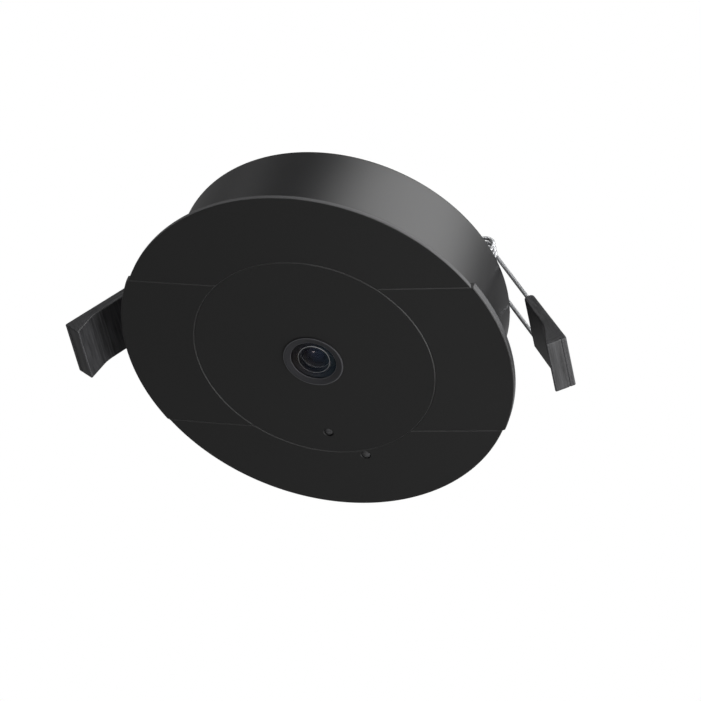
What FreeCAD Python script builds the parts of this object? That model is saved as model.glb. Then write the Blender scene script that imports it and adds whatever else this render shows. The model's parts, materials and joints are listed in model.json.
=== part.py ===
import FreeCAD, Part
import math
import os
import re
import Sketcher
from FreeCAD import Placement, Rotation, Vector

# Recessed ceiling camera with a fisheye lens, in millimetres.
# The origin is the centre of the flange's seat on the ceiling. +Z points up into the ceiling,
# the lens looks along -Z, and +X points along the face's seams to the right-hand clip.

doc = FreeCAD.newDocument("ceiling_camera")
sheet = doc.addObject("Spreadsheet::Sheet", "sizes")

SIZES = [
    ("fit_gap", 0.1, "clearance between pieces that sit in each other"),
    ("seat_gap", 0.05, "clearance under a piece that is pressed on its seat"),
    ("face_radius", 60.0, "outer radius of the two face covers"),
    ("band_lip", 0.6, "band between the seams, beyond the covers' edge"),
    ("disc_radius", 37.0, "outer radius of the centre disc"),
    ("seam_offset", 27.7, "distance of each straight seam from the centre"),
    ("seam_gap", 0.3, "open width of a straight seam"),
    ("disc_gap", 0.35, "open width of the groove round the disc"),
    ("groove_chamfer", 0.35, "chamfer along the disc's groove"),
    ("rim_chamfer", 0.5, "bevel round the outer edge of the face"),
    ("face_depth", 2.6, "face edge to the ceiling"),
    ("dome_rise", 1.65, "disc edge in front of the face edge"),
    ("disc_rise", 0.75, "lens ring's seat in front of the disc edge"),
    ("cover_thickness", 1.2, "sheet of the two face covers"),
    ("disc_thickness", 1.4, "sheet of the centre disc"),
    ("cover_overhang", 1.0, "covers' edge beyond the ring under them"),
    ("disc_ledge", 2.5, "width of the ledge that carries the disc"),
    ("skirt_lift", 0.3, "band's skirt clear of the ceiling"),
    ("flange_setback", 2.0, "housing's flange inside the covers' edge"),
    ("flange_thickness", 0.9, "thickness of the housing's flange"),
    ("ceiling_lap", 8.1, "covers' edge beyond the barrel, over the cut-out"),
    ("barrel_wall", 2.0, "wall of the barrel"),
    ("barrel_depth", 30.1, "ceiling seat to the barrel's rear edge"),
    ("rear_chamfer", 0.8, "chamfer round the barrel's rear edge"),
    ("rebate_wall", 1.3, "wall of the barrel round the rear cover"),
    ("rear_cover_thickness", 2.0, "plate of the rear cover"),
    ("seal_inset", 4.0, "front seal's inner edge inside the flange's edge"),
    ("seal_width", 1.4, "width of the front seal"),
    ("seal_depth", 0.5, "depth of the front seal"),
    ("boss_radius", 3.4, "screw bosses in the barrel"),
    ("boss_sink", 0.6, "how far a boss runs into the wall"),
    ("screw_radius", 1.25, "shank of the body screws"),
    ("screw_head_radius", 2.4, "head of the body screws"),
    ("screw_head_height", 1.2, "height of a body screw's head"),
    ("screw_grip", 5.0, "length of screw in its boss"),
    ("frame_head_height", 0.6, "height of a frame screw's flat head"),
    ("frame_floor", 0.5, "frame left under a frame screw's head"),
    ("light_inset", 7.77, "light guide's hole inside the disc's edge"),
    ("light_angle", 92.65, "light guide's hole, degrees from +X"),
    ("sound_inset", 1.9, "microphone hole outside the disc's groove"),
    ("sound_angle", 77.34, "microphone hole, degrees from +X"),
    ("port_radius", 1.3, "radius of the two small holes"),
    ("port_chamfer", 0.4, "chamfer round the small holes"),
    ("port_recess", 0.15, "light guide's end below the disc's face"),
    ("bezel_radius", 9.25, "outer radius of the lens ring"),
    ("bezel_height", 0.45, "lens ring in front of the disc"),
    ("bezel_edge", 0.5, "lens ring's front edge inside its outer edge"),
    ("bezel_slope", 0.5, "drop of the lens ring towards the glass"),
    ("bezel_lip", 1.05, "lens ring's lip on the disc"),
    ("bezel_depth", 2.6, "length of the lens ring"),
    ("glass_ledge", 0.7, "width of the ledge behind the glass"),
    ("glass_radius", 6.9, "radius of the front glass"),
    ("glass_depth", 1.5, "edge thickness of the front glass"),
    ("glass_curve", 16.0, "radius of the glass's front surface"),
    ("glass_hollow", 6.2, "radius of the glass's rear hollow"),
    ("glass_middle", 1.25, "thickness in the middle of the glass"),
    ("lens_rim", 1.0, "wall of the lens barrel's front rim"),
    ("lens_ring_height", 0.8, "height of the bright ring"),
    ("lens_ring_width", 0.9, "width of the bright ring"),
    ("lens_stop_step", 0.2, "stop behind the ring, inside its bore"),
    ("lens_stop_height", 0.6, "thickness of that stop"),
    ("lens_wall", 1.4, "wall of the lens barrel round the inner lenses"),
    ("element_thickness", 2.4, "edge thickness of an inner lens"),
    ("element_curve", 9.0, "radius of an inner lens's surfaces"),
    ("element_spacing", 0.6, "space between the inner lenses"),
    ("holder_width", 15.0, "square lens holder"),
    ("holder_height", 5.4, "lens holder above its board"),
    ("filter_width", 11.0, "square filter"),
    ("filter_thickness", 0.5, "filter glass"),
    ("sensor_length", 8.4, "image sensor, long side"),
    ("sensor_width", 8.0, "image sensor, short side"),
    ("sensor_height", 0.9, "image sensor above its board"),
    ("sensor_board_radius", 33.0, "round sensor board"),
    ("sensor_board_front", 7.0, "front face of the sensor board"),
    ("board_thickness", 1.2, "sensor board"),
    ("post_inset", 3.0, "boards' posts inside the boards' edges"),
    ("sensor_post_height", 2.0, "height of those posts"),
    ("post_radius", 2.2, "posts under the boards"),
    ("board_screw_radius", 1.0, "shank of a board screw"),
    ("board_head_radius", 1.9, "head of a board screw"),
    ("board_head_height", 0.8, "height of a board screw's head"),
    ("card_slot_x", -18.0, "memory card slot, across"),
    ("card_slot_length", 15.0, "memory card slot, down the board"),
    ("card_slot_width", 12.0, "memory card slot, across the board"),
    ("card_slot_height", 1.9, "memory card slot above its board"),
    ("card_mouth", 0.9, "height of the slot's mouth"),
    ("card_wall", 0.5, "sheet of the slot's cage"),
    ("reset_x", 18.0, "reset switch, across"),
    ("reset_width", 6.0, "square reset switch"),
    ("reset_height", 3.5, "reset switch above its board"),
    ("reset_bore", 1.6, "bore of the reset switch"),
    ("reset_bore_depth", 1.6, "depth of that bore"),
    ("plunger_length", 2.2, "length of the reset plunger"),
    ("plunger_travel", 0.4, "travel of the reset plunger"),
    ("led_width", 1.6, "square status light"),
    ("led_height", 0.8, "status light above its board"),
    ("led_air", 0.2, "status light to the light guide"),
    ("boot_radius", 3.6, "outer radius of the microphone's boot"),
    ("boot_height", 4.0, "height of the microphone's boot"),
    ("boot_floor", 1.0, "floor of the boot"),
    ("boot_port", 0.7, "sound port of the boot"),
    ("capsule_radius", 2.95, "radius of the microphone"),
    ("capsule_height", 2.5, "height of the microphone"),
    ("connector_inset", 5.0, "connector between the boards, inside the sensor board's edge"),
    ("connector_length", 20.0, "that connector's length"),
    ("connector_width", 4.0, "that connector's width"),
    ("connector_room", 0.5, "space round it in the chassis"),
    ("chassis_thickness", 1.5, "chassis plate"),
    ("chassis_room", 0.5, "chassis edge to the barrel's wall"),
    ("pad_width_thermal", 14.0, "square thermal pad"),
    ("pad_height_thermal", 1.3, "thickness of the thermal pad"),
    ("chip_width", 15.0, "square processor"),
    ("chip_height", 1.2, "height of the processor"),
    ("memory_offset", 18.0, "memory chips, across"),
    ("memory_length", 11.0, "memory chip, long side"),
    ("memory_width", 9.0, "memory chip, short side"),
    ("memory_height", 1.0, "height of a memory chip"),
    ("main_board_room", 2.7, "main board's edge to the screw bosses"),
    ("main_board_thickness", 1.6, "main board"),
    ("transformer_x", -20.0, "power transformer, across"),
    ("transformer_y", 6.0, "power transformer, down"),
    ("transformer_length", 13.0, "power transformer, long side"),
    ("transformer_width", 12.0, "power transformer, short side"),
    ("transformer_height", 8.0, "height of the power transformer"),
    ("capacitor_x", 20.0, "capacitors, across"),
    ("capacitor_pitch", 8.0, "capacitor to capacitor"),
    ("capacitor_radius", 3.2, "radius of a capacitor"),
    ("capacitor_height", 8.5, "height of a capacitor"),
    ("socket_y", -19.0, "network socket, down"),
    ("socket_width", 16.0, "network socket, across"),
    ("socket_depth", 13.6, "network socket, down"),
    ("socket_lift", 0.5, "network socket proud of the rear cover"),
    ("socket_mouth_width", 11.8, "mouth of the network socket, across"),
    ("socket_mouth_depth", 8.2, "mouth of the network socket, down"),
    ("socket_floor", 2.8, "network socket's floor behind the mouth"),
    ("latch_width", 6.0, "slot for the plug's latch"),
    ("latch_depth", 2.0, "depth of that slot"),
    ("contact_pitch", 1.02, "contact to contact"),
    ("contact_width", 0.5, "width of a contact"),
    ("contact_height", 0.5, "contact proud of the mouth's wall"),
    ("contact_setback", 3.0, "contacts short of the mouth's edge"),
    ("cover_boss_lift", 0.3, "rear cover's bosses behind the chassis"),
    ("arm_angle", 53.0, "clip arms below level when free"),
    ("arm_offset", 8.0, "each clip arm from the clip's middle"),
    ("stop_gap", 0.7, "clip arm to the barrel's edge when free"),
    ("wire_radius", 0.6, "spring wire"),
    ("coil_radius", 2.7, "middle of the spring's turns"),
    ("coil_lift", 0.9, "turns above the rear cover"),
    ("coil_pitch", 1.8, "turn to turn along the pin"),
    ("tail_length", 1.4, "straight end of the spring wire"),
    ("bridge_radius", 2.4, "bend of the wire inside the pad"),
    ("bridge_depth", 12.0, "wire inside the pad"),
    ("pad_start", 24.6, "hinge to the pad's near end"),
    ("pad_length", 24.2, "length of the pad"),
    ("pad_side_wall", 0.7, "rubber beside the wire in the pad"),
    ("shank_thickness", 3.5, "thickness of the pad's shank"),
    ("tip_thickness", 3.1, "thickness at the pad's near end"),
    ("foot_start", 15.4, "near end to the start of the foot"),
    ("foot_depth", 6.6, "thickness of the foot at the sole"),
    ("foot_blend", 12.0, "radius of the hollow between shank and foot"),
    ("heel_setback", 0.4, "heel behind the toe"),
    ("pad_round", 0.7, "rounded edges of the pad"),
    ("sole_groove", 0.5, "width of the groove in the sole"),
    ("sole_groove_depth", 0.25, "depth of the groove in the sole"),
    ("sole_groove_place", 1.6, "groove from the pad's outer face"),
    ("pin_radius", 1.4, "hinge pin"),
    ("pin_overhang", 3.8, "pin beyond each ear, inside the coil"),
    ("pin_tip_radius", 1.0, "thinner tip of the pin"),
    ("pin_tip", 0.6, "length of the pin's tip"),
    ("ear_gap", 0.5, "spring arm to the bracket's ear"),
    ("ear_radius", 2.6, "rounded end of the bracket's ear"),
    ("bracket_sheet", 1.2, "sheet of the bracket"),
    ("bracket_length", 13.35, "length of the bracket's base"),
    ("bracket_width", 25.6, "width of the bracket's base"),
    ("bracket_clear", 1.2, "turns to the bracket's base"),
    ("bracket_screw_inset", 7.85, "bracket screws inside the base's outer edge"),
    ("bracket_screw_y", 9.6, "bracket screws off the clip's middle"),
]

# Counts that the outlines and groups repeat.
QUARTER_TURNS = 13
CONTACT_COUNT = 8
FULL_TURN = 360.0

# Two places closer than this, in mm, are one.
PLACE_SLACK = 0.001

ALIASES = {name for name, number, note in SIZES}
for row, (name, number, note) in enumerate(SIZES, start=1):
    sheet.set("A%d" % row, note)
    sheet.set("B%d" % row, str(number))
    sheet.setAlias("B%d" % row, name)

# Levels and radii that follow from the sizes.
DERIVED = {
    "band_radius": "face_radius + band_lip",
    "frame_radius": "face_radius - cover_overhang",
    "flange_radius": "face_radius - flange_setback",
    "barrel_radius": "face_radius - ceiling_lap",
    "seal_radius": "flange_radius - seal_inset",
    "disc_edge_front": "0 - face_depth - dome_rise",
    "disc_inner_front": "disc_edge_front - disc_rise",
    "groove_radius": "disc_radius + disc_gap",
    "frame_ledge_radius": "disc_radius - disc_ledge",
    "light_radius": "disc_radius - light_inset",
    "light_hole_x": "light_radius * cos(light_angle)",
    "light_hole_y": "light_radius * sin(light_angle)",
    "sound_radius": "groove_radius + sound_inset",
    "sound_hole_x": "sound_radius * cos(sound_angle)",
    "sound_hole_y": "sound_radius * sin(sound_angle)",
    "frame_back": "0 - flange_thickness",
    "barrel_bore": "barrel_radius - barrel_wall",
    "rebate_radius": "barrel_radius - rebate_wall",
    "rear_inside": "barrel_depth - rear_cover_thickness",
    "boss_ring": "barrel_bore - boss_radius + boss_sink",
    "bezel_front": "disc_inner_front - bezel_height",
    "bezel_seat": "disc_inner_front - fit_gap",
    "bezel_crest": "bezel_radius - bezel_edge",
    "bezel_neck": "bezel_radius - bezel_lip",
    "bezel_bore": "glass_radius + fit_gap",
    "bezel_ledge": "glass_radius - glass_ledge",
    "glass_edge": "bezel_front + bezel_slope",
    "glass_back": "glass_edge + glass_depth",
    "glass_sag": "glass_curve - sqrt(glass_curve * glass_curve - glass_radius * glass_radius)",
    "glass_apex": "glass_edge - glass_sag",
    "lens_front": "glass_back + seat_gap",
    "lens_thread": "bezel_ledge - 2 * fit_gap",
    "lens_bore": "lens_thread - lens_wall",
    "lens_pocket": "lens_thread - lens_rim",
    "lens_ring_bore": "lens_pocket - fit_gap - lens_ring_width",
    "lens_stop_bore": "lens_ring_bore - lens_stop_step",
    "lens_ring_back": "lens_front + lens_ring_height",
    "element_front": "lens_ring_back + lens_stop_height + fit_gap",
    "element_two": "element_front + element_thickness + element_spacing",
    "holder_front": "sensor_board_front - holder_height",
    "sensor_room": "filter_width + fit_gap",
    "sensor_room_height": "sensor_height + filter_thickness + fit_gap",
    "holder_stop": "sensor_board_front - sensor_room_height",
    "lens_barrel_end": "holder_stop - fit_gap",
    "sensor_post_offset": "(sensor_board_radius - post_inset) / sqrt(2)",
    "connector_y": "connector_inset - sensor_board_radius",
    "sensor_board_back": "sensor_board_front + board_thickness",
    "chassis_front": "sensor_board_back + sensor_post_height",
    "chassis_back": "chassis_front + chassis_thickness",
    "cover_boss_start": "chassis_back + cover_boss_lift",
    "main_board_radius": "boss_ring - boss_radius - main_board_room",
    "main_post_offset": "(main_board_radius - post_inset) / sqrt(2)",
    "main_board_front": "chassis_back + pad_height_thermal + chip_height",
    "main_board_back": "main_board_front + main_board_thickness",
    "socket_top": "barrel_depth + socket_lift",
    "socket_mouth_length": "socket_top - main_board_back - socket_floor",
    "contact_length": "socket_mouth_length - contact_setback",
    "coil_outer": "coil_radius + wire_radius",
    "axis_height": "barrel_depth + coil_lift + coil_outer",
    "edge_reach": "sqrt(barrel_radius * barrel_radius - (arm_offset - wire_radius) * (arm_offset - wire_radius))",
    "edge_height": "barrel_depth - rear_chamfer",
    "arm_line": "edge_reach * sin(arm_angle) + edge_height * cos(arm_angle) + wire_radius + stop_gap",
    "axis_reach": "(arm_line - coil_radius - axis_height * cos(arm_angle)) / sin(arm_angle)",
    "ear_outer": "arm_offset - wire_radius - ear_gap",
    "ear_inner": "ear_outer - bracket_sheet",
    "pin_end": "ear_outer + pin_overhang",
    "bracket_edge": "axis_reach - coil_outer - bracket_clear",
    "bracket_inner": "bracket_edge - bracket_length",
    "bracket_screw_x": "bracket_edge - bracket_screw_inset",
    "pad_width": "2 * (arm_offset + wire_radius + pad_side_wall)",
}


def cell(text):
    """Expression with every size pointed at its cell and every derived name written out."""
    def swap(match):
        word = match.group(0)
        if word in DERIVED:
            return "(" + cell(DERIVED[word]) + ")"
        return "sizes." + word if word in ALIASES else word
    return re.sub(r"[a-z][a-z_]*", swap, str(text))


doc.recompute()


def value(text):
    """Number that an expression gives now."""
    return float(sheet.evalExpression(cell(text)))


def bind(thing, places):
    """Tie each property in places to its expression."""
    for place, text in places.items():
        thing.setExpression(place, cell(text))
    return thing


def bind_base(thing, x, y, z):
    return bind(thing, {"Placement.Base.x": x, "Placement.Base.y": y, "Placement.Base.z": z})


def cylinder(radius, height, x="0", y="0", z="0"):
    """Upright cylinder with its lower end at z."""
    rod = doc.addObject("Part::Cylinder", "rod")
    bind(rod, {"Radius": radius, "Height": height})
    return bind_base(rod, x, y, z)


def cross_cylinder(radius, length, x, y, z):
    """Cylinder along +Y from y."""
    rod = doc.addObject("Part::Cylinder", "cross_rod")
    rod.Placement = Placement(Vector(), Rotation(Vector(1, 0, 0), -90))
    bind(rod, {"Radius": radius, "Height": length})
    return bind_base(rod, x, y, z)


def block(across, down, height, x="0", y="0", z="0"):
    """Box centred on x and y with its lower face at z."""
    box = doc.addObject("Part::Box", "block")
    bind(box, {"Length": across, "Width": down, "Height": height})
    return bind_base(box, "(%s) - (%s) / 2" % (x, across), "(%s) - (%s) / 2" % (y, down), z)


def ball(radius, z):
    sphere = doc.addObject("Part::Sphere", "ball")
    bind(sphere, {"Radius": radius})
    return bind_base(sphere, "0", "0", z)


def joined(*pieces):
    if len(pieces) == 1:
        return pieces[0]
    fuse = doc.addObject("Part::MultiFuse", "joined")
    fuse.Shapes = list(pieces)
    return fuse


def cut(base, *tools):
    result = doc.addObject("Part::Cut", "cut")
    result.Base = base
    result.Tool = joined(*tools)
    return result


def common(first, second):
    result = doc.addObject("Part::MultiCommon", "common")
    result.Shapes = [first, second]
    return result


def grouped(*pieces):
    """Several like pieces that stay separate solids."""
    group = doc.addObject("Part::Compound", "group")
    group.Links = list(pieces)
    return group


def origin_plane(body, role):
    return next(item for item in body.Origin.OriginFeatures if item.Role == role)


def outline(body, role, corners):
    """Closed sketch on one of the body's planes, each corner tied to its two expressions."""
    sketch = body.newObject("Sketcher::SketchObject", "outline")
    sketch.AttachmentSupport = (origin_plane(body, role), [""])
    sketch.MapMode = "FlatFace"
    spots = [Vector(value(a), value(b), 0) for a, b in corners]
    count = len(spots)
    for index in range(count):
        sketch.addGeometry(Part.LineSegment(spots[index], spots[(index + 1) % count]), False)
    for index in range(count):
        sketch.addConstraint(Sketcher.Constraint("Coincident", index, 2, (index + 1) % count, 1))
    for index, corner in enumerate(corners):
        for kind, axis, text in (("DistanceX", -2, corner[0]), ("DistanceY", -1, corner[1])):
            if text == "0":
                sketch.addConstraint(Sketcher.Constraint("PointOnObject", index, 1, axis))
                continue
            place = sketch.addConstraint(Sketcher.Constraint(kind, -1, 1, index, 1, value(text)))
            label = "%s_%d" % (kind.lower(), index)
            sketch.renameConstraint(place, label)
            sketch.setExpression("Constraints." + label, cell(text))
    return sketch


def turned(corners):
    """Body turned about Z from corners given as radius and height."""
    body = doc.addObject("PartDesign::Body", "turned_body")
    sketch = outline(body, "XZ_Plane", corners)
    turn = body.newObject("PartDesign::Revolution", "turn")
    turn.Profile = sketch
    turn.ReferenceAxis = (sketch, ["V_Axis"])
    turn.Angle = FULL_TURN
    body.Tip = turn
    return body


NODES = {}


def node(label, thing):
    thing.Label = label
    NODES[label] = thing
    return thing


def ring_spots(angles, radius):
    """Places on a circle, as expressions."""
    return [("(%s) * cos(%d)" % (radius, a), "(%s) * sin(%d)" % (radius, a)) for a in angles]


def square_spots(offset):
    return [("%s(%s)" % (sx, offset), "%s(%s)" % (sy, offset)) for sx in ("", "-") for sy in ("", "-")]


def holes(spots, radius, height, z):
    return [cylinder(radius, height, x, y, z) for x, y in spots]


def face_front(radius):
    """Height of the covers' front at a radius: a shallow cone from the face edge to the disc."""
    return "0 - face_depth - (face_radius - (%s)) * dome_rise / (face_radius - disc_radius)" % radius


def disc_front(radius):
    """Height of the disc's front at a radius: a shallower cone up to the lens ring."""
    return "disc_edge_front - (disc_radius - (%s)) * disc_rise / (disc_radius - bezel_radius)" % radius


def face_ring(outer, back_corners):
    """Turned ring with the face's cone in front, grooved at the disc and bevelled at the rim."""
    start = "groove_radius"
    inner = start + " + groove_chamfer"
    rim = outer + " - rim_chamfer"
    front = [
        (start, face_front(start) + " + groove_chamfer"),
        (inner, face_front(inner)),
        (rim, face_front(rim)),
        (outer, face_front(outer) + " + rim_chamfer"),
    ]
    return turned(front + back_corners)


def port(x, y, front):
    """Small hole through the face with a chamfered mouth."""
    bore = cylinder("port_radius", "face_depth + dome_rise + disc_rise", x, y, front + " - fit_gap")
    mouth = doc.addObject("Part::Cone", "mouth")
    bind(mouth, {
        "Radius1": "port_radius + port_chamfer + fit_gap",
        "Radius2": "port_radius",
        "Height": "port_chamfer + fit_gap",
    })
    bind_base(mouth, x, y, front + " - fit_gap")
    return [bore, mouth]


# Face covers: two thin segments outside the straight seams.


def cover_segment(side):
    """Segment of the face ring past the seam; side is -1 for the top and 1 for the bottom."""
    ring = face_ring("face_radius", [
        ("face_radius", face_front("face_radius") + " + cover_thickness"),
        ("groove_radius", face_front("groove_radius") + " + cover_thickness"),
    ])
    width = "face_radius - seam_offset - seam_gap / 2"
    middle = "%d * (face_radius + seam_offset + seam_gap / 2) / 2" % side
    slab = block("2 * face_radius", width, "2 * (face_depth + dome_rise)", "0", middle,
                 "0 - 2 * (face_depth + dome_rise)")
    return common(ring, slab)


node("top_cover", cover_segment(-1))
node("bottom_cover", cut(cover_segment(1), *port("sound_hole_x", "sound_hole_y", face_front("sound_radius"))))

# Face frame: the band's two faces and the ring that carries covers and disc.

BAND_WIDTH = "2 * seam_offset - seam_gap"
band_ring = face_ring("band_radius", [
    ("band_radius", "0 - skirt_lift"),
    ("flange_radius + fit_gap", "0 - skirt_lift"),
    ("flange_radius + fit_gap", "frame_back"),
    ("groove_radius", "frame_back"),
])
band = common(band_ring, block("2 * band_radius", BAND_WIDTH, "2 * (face_depth + dome_rise)",
                               "0", "0", "0 - 2 * (face_depth + dome_rise)"))
ledge = turned([
    ("frame_ledge_radius", "frame_back"),
    ("frame_ledge_radius", "disc_edge_front + disc_thickness + fit_gap"),
    ("groove_radius", "disc_edge_front + disc_thickness + fit_gap"),
    ("groove_radius", face_front("groove_radius") + " + cover_thickness + fit_gap"),
    ("frame_radius", face_front("frame_radius") + " + cover_thickness + fit_gap"),
    ("frame_radius", "frame_back"),
])
CORNER_ANGLES = (45, 135, 225, 315)
BOSS_SPOTS = ring_spots(CORNER_ANGLES, "boss_ring")
frame_holes = holes(BOSS_SPOTS, "screw_radius + seat_gap", "2 * face_depth", "0 - 2 * face_depth")
frame_sinks = holes(BOSS_SPOTS, "screw_head_radius + fit_gap", "2 * face_depth",
                    "frame_back - frame_floor - 2 * face_depth")
sound_way = cylinder("port_radius", "2 * face_depth", "sound_hole_x", "sound_hole_y", "0 - 2 * face_depth")
node("face_frame", cut(joined(band, ledge), sound_way, *(frame_holes + frame_sinks)))


def screw(spot, seat, grip, radius, head_radius, head_height, up):
    """Screw whose head stands on the level seat and whose shank runs grip mm the other way."""
    x, y = spot
    if up:
        head = cylinder(head_radius, head_height, x, y, seat)
        shank = cylinder(radius, grip, x, y, "%s - (%s)" % (seat, grip))
    else:
        head = cylinder(head_radius, head_height, x, y, "%s - (%s)" % (seat, head_height))
        shank = cylinder(radius, grip, x, y, seat)
    return joined(head, shank)


def screws(label, spots, seat, grip, sizes, up):
    radius, head_radius, head_height = sizes
    return node(label, grouped(*[screw(s, seat, grip, radius, head_radius, head_height, up) for s in spots]))


BODY_SCREW = ("screw_radius", "screw_head_radius", "screw_head_height")
FRAME_SCREW = ("screw_radius", "screw_head_radius", "frame_head_height")
BOARD_SCREW = ("board_screw_radius", "board_head_radius", "board_head_height")
screws("frame_screws", BOSS_SPOTS, "frame_back - frame_floor", "screw_grip", FRAME_SCREW, False)

# Centre disc with the light guide's hole.

disc_bore = "bezel_neck + fit_gap"
disc_body = turned([
    (disc_bore, disc_front(disc_bore)),
    ("disc_radius - groove_chamfer", disc_front("disc_radius - groove_chamfer")),
    ("disc_radius", "disc_edge_front + groove_chamfer"),
    ("disc_radius", "disc_edge_front + disc_thickness"),
    (disc_bore, disc_front(disc_bore) + " + disc_thickness"),
])
node("centre_disc", cut(disc_body, *port("light_hole_x", "light_hole_y", disc_front("light_radius"))))

# Housing: barrel, flange and screw bosses, with a groove for the front seal.

barrel = turned([
    ("barrel_bore", "frame_back"),
    ("flange_radius", "frame_back"),
    ("flange_radius", "0"),
    ("barrel_radius", "0"),
    ("barrel_radius", "edge_height"),
    ("barrel_radius - rear_chamfer", "barrel_depth"),
    ("rebate_radius", "barrel_depth"),
    ("rebate_radius", "rear_inside"),
    ("barrel_bore", "rear_inside"),
])
COVER_ANGLES = (60, 120, 240, 300)
COVER_SPOTS = ring_spots(COVER_ANGLES, "boss_ring")
front_bosses = holes(BOSS_SPOTS, "boss_radius", "chassis_front - (frame_back)", "frame_back")
rear_bosses = holes(COVER_SPOTS, "boss_radius", "rear_inside - cover_boss_start", "cover_boss_start")
boss_bores = holes(BOSS_SPOTS, "screw_radius + seat_gap", "barrel_depth", "frame_back - fit_gap")
cover_bores = holes(COVER_SPOTS, "screw_radius + seat_gap", "screw_grip + fit_gap",
                    "rear_inside - screw_grip - fit_gap")
seal_groove = turned([
    ("seal_radius", "frame_back - fit_gap"),
    ("seal_radius + seal_width", "frame_back - fit_gap"),
    ("seal_radius + seal_width", "frame_back + seal_depth"),
    ("seal_radius", "frame_back + seal_depth"),
])
node("housing", cut(joined(barrel, *(front_bosses + rear_bosses)), seal_groove, *(boss_bores + cover_bores)))
node("front_seal", turned([
    ("seal_radius + seat_gap", "frame_back"),
    ("seal_radius + seal_width - seat_gap", "frame_back"),
    ("seal_radius + seal_width - seat_gap", "frame_back + seal_depth"),
    ("seal_radius + seat_gap", "frame_back + seal_depth"),
]))

# Lens: bezel ring, front glass, bright ring, barrel and inner lenses.

node("lens_bezel", turned([
    ("bezel_bore", "glass_edge"),
    ("bezel_crest", "bezel_front"),
    ("bezel_radius", "bezel_front + fit_gap"),
    ("bezel_radius", "bezel_seat"),
    ("bezel_neck", "bezel_seat"),
    ("bezel_neck", "bezel_front + bezel_depth"),
    ("bezel_ledge", "bezel_front + bezel_depth"),
    ("bezel_ledge", "glass_back"),
    ("bezel_bore", "glass_back"),
]))
glass_rod = cylinder("glass_radius", "glass_depth + glass_sag + fit_gap", "0", "0", "glass_apex - fit_gap")
glass_front_form = common(glass_rod, ball("glass_curve", "glass_apex + glass_curve"))
node("front_glass", cut(glass_front_form, ball("glass_hollow", "glass_apex + glass_middle + glass_hollow")))
node("lens_ring", turned([
    ("lens_ring_bore", "lens_front"),
    ("lens_pocket - fit_gap", "lens_front"),
    ("lens_pocket - fit_gap", "lens_ring_back"),
    ("lens_ring_bore", "lens_ring_back"),
]))
node("lens_barrel", turned([
    ("lens_pocket", "lens_front"),
    ("lens_thread", "lens_front"),
    ("lens_thread", "lens_barrel_end"),
    ("lens_bore", "lens_barrel_end"),
    ("lens_bore", "lens_ring_back + lens_stop_height"),
    ("lens_stop_bore", "lens_ring_back + lens_stop_height"),
    ("lens_stop_bore", "lens_ring_back"),
    ("lens_pocket", "lens_ring_back"),
]))


def inner_lens(front):
    """Disc of glass whose front is part of a ball."""
    rod = cylinder("lens_bore - fit_gap", "element_thickness", "0", "0", front)
    return common(rod, ball("element_curve", front + " + element_curve"))


node("lens_element_2", inner_lens("element_front"))
node("lens_element_3", inner_lens("element_two"))
node("lens_holder", cut(
    block("holder_width", "holder_width", "holder_height", "0", "0", "holder_front"),
    cylinder("lens_thread + seat_gap", "holder_height", "0", "0", "holder_front - fit_gap"),
    block("sensor_room", "sensor_room", "sensor_room_height + fit_gap", "0", "0", "holder_stop")))
node("ir_filter", block("filter_width", "filter_width", "filter_thickness", "0", "0", "holder_stop"))
node("image_sensor", block("sensor_length", "sensor_width", "sensor_height",
                           "0", "0", "sensor_board_front - sensor_height"))

# Sensor board and what stands on it.

SENSOR_POSTS = square_spots("sensor_post_offset")
node("sensor_board", cut(cylinder("sensor_board_radius", "board_thickness", "0", "0", "sensor_board_front"),
                         *holes(SENSOR_POSTS, "board_screw_radius + fit_gap", "2 * board_thickness",
                                "sensor_board_front - board_thickness / 2")))


def posts(label, spots, height, z):
    """Round posts with a bore for the board screws."""
    tubes = []
    for x, y in spots:
        bore = cylinder("board_screw_radius + seat_gap", height, x, y, z)
        tubes.append(cut(cylinder("post_radius", height, x, y, z), bore))
    return node(label, grouped(*tubes))


posts("sensor_standoffs", SENSOR_POSTS, "sensor_post_height", "sensor_board_back")
screws("sensor_board_screws", SENSOR_POSTS, "sensor_board_front",
       "board_thickness + sensor_post_height", BOARD_SCREW, False)
card_cage = block("card_slot_width", "card_slot_length", "card_slot_height", "card_slot_x", "0",
                  "sensor_board_front - card_slot_height")
card_room = block("card_slot_width - 2 * card_wall", "card_slot_length", "card_mouth", "card_slot_x",
                  "card_wall", "sensor_board_front - card_slot_height + card_wall")
node("card_slot", cut(card_cage, card_room))
RESET_FRONT = "sensor_board_front - reset_height"
node("reset_switch", cut(
    block("reset_width", "reset_width", "reset_height", "reset_x", "0", RESET_FRONT),
    cylinder("reset_bore", "reset_bore_depth + fit_gap", "reset_x", "0", RESET_FRONT + " - fit_gap")))
node("reset_plunger", cylinder("reset_bore - fit_gap", "plunger_length", "reset_x", "0",
                               RESET_FRONT + " + reset_bore_depth - plunger_travel - fit_gap - plunger_length"))
LED_FRONT = "sensor_board_front - led_height"
node("status_led", block("led_width", "led_width", "led_height", "light_hole_x", "light_hole_y", LED_FRONT))
GUIDE_FRONT = disc_front("light_radius") + " + port_recess"
node("light_guide", cylinder("port_radius - seat_gap", LED_FRONT + " - led_air - (" + GUIDE_FRONT + ")",
                             "light_hole_x", "light_hole_y", GUIDE_FRONT))

# Microphone in its rubber boot behind the bottom cover's hole.

node("mic_boot", cut(
    cylinder("boot_radius", "boot_height", "sound_hole_x", "sound_hole_y", "frame_back"),
    cylinder("boot_port", "boot_height", "sound_hole_x", "sound_hole_y", "frame_back - fit_gap"),
    cylinder("capsule_radius + seat_gap", "boot_height", "sound_hole_x", "sound_hole_y",
             "frame_back + boot_floor")))
node("mic_capsule", cylinder("capsule_radius", "capsule_height", "sound_hole_x", "sound_hole_y",
                             "frame_back + boot_floor"))

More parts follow.
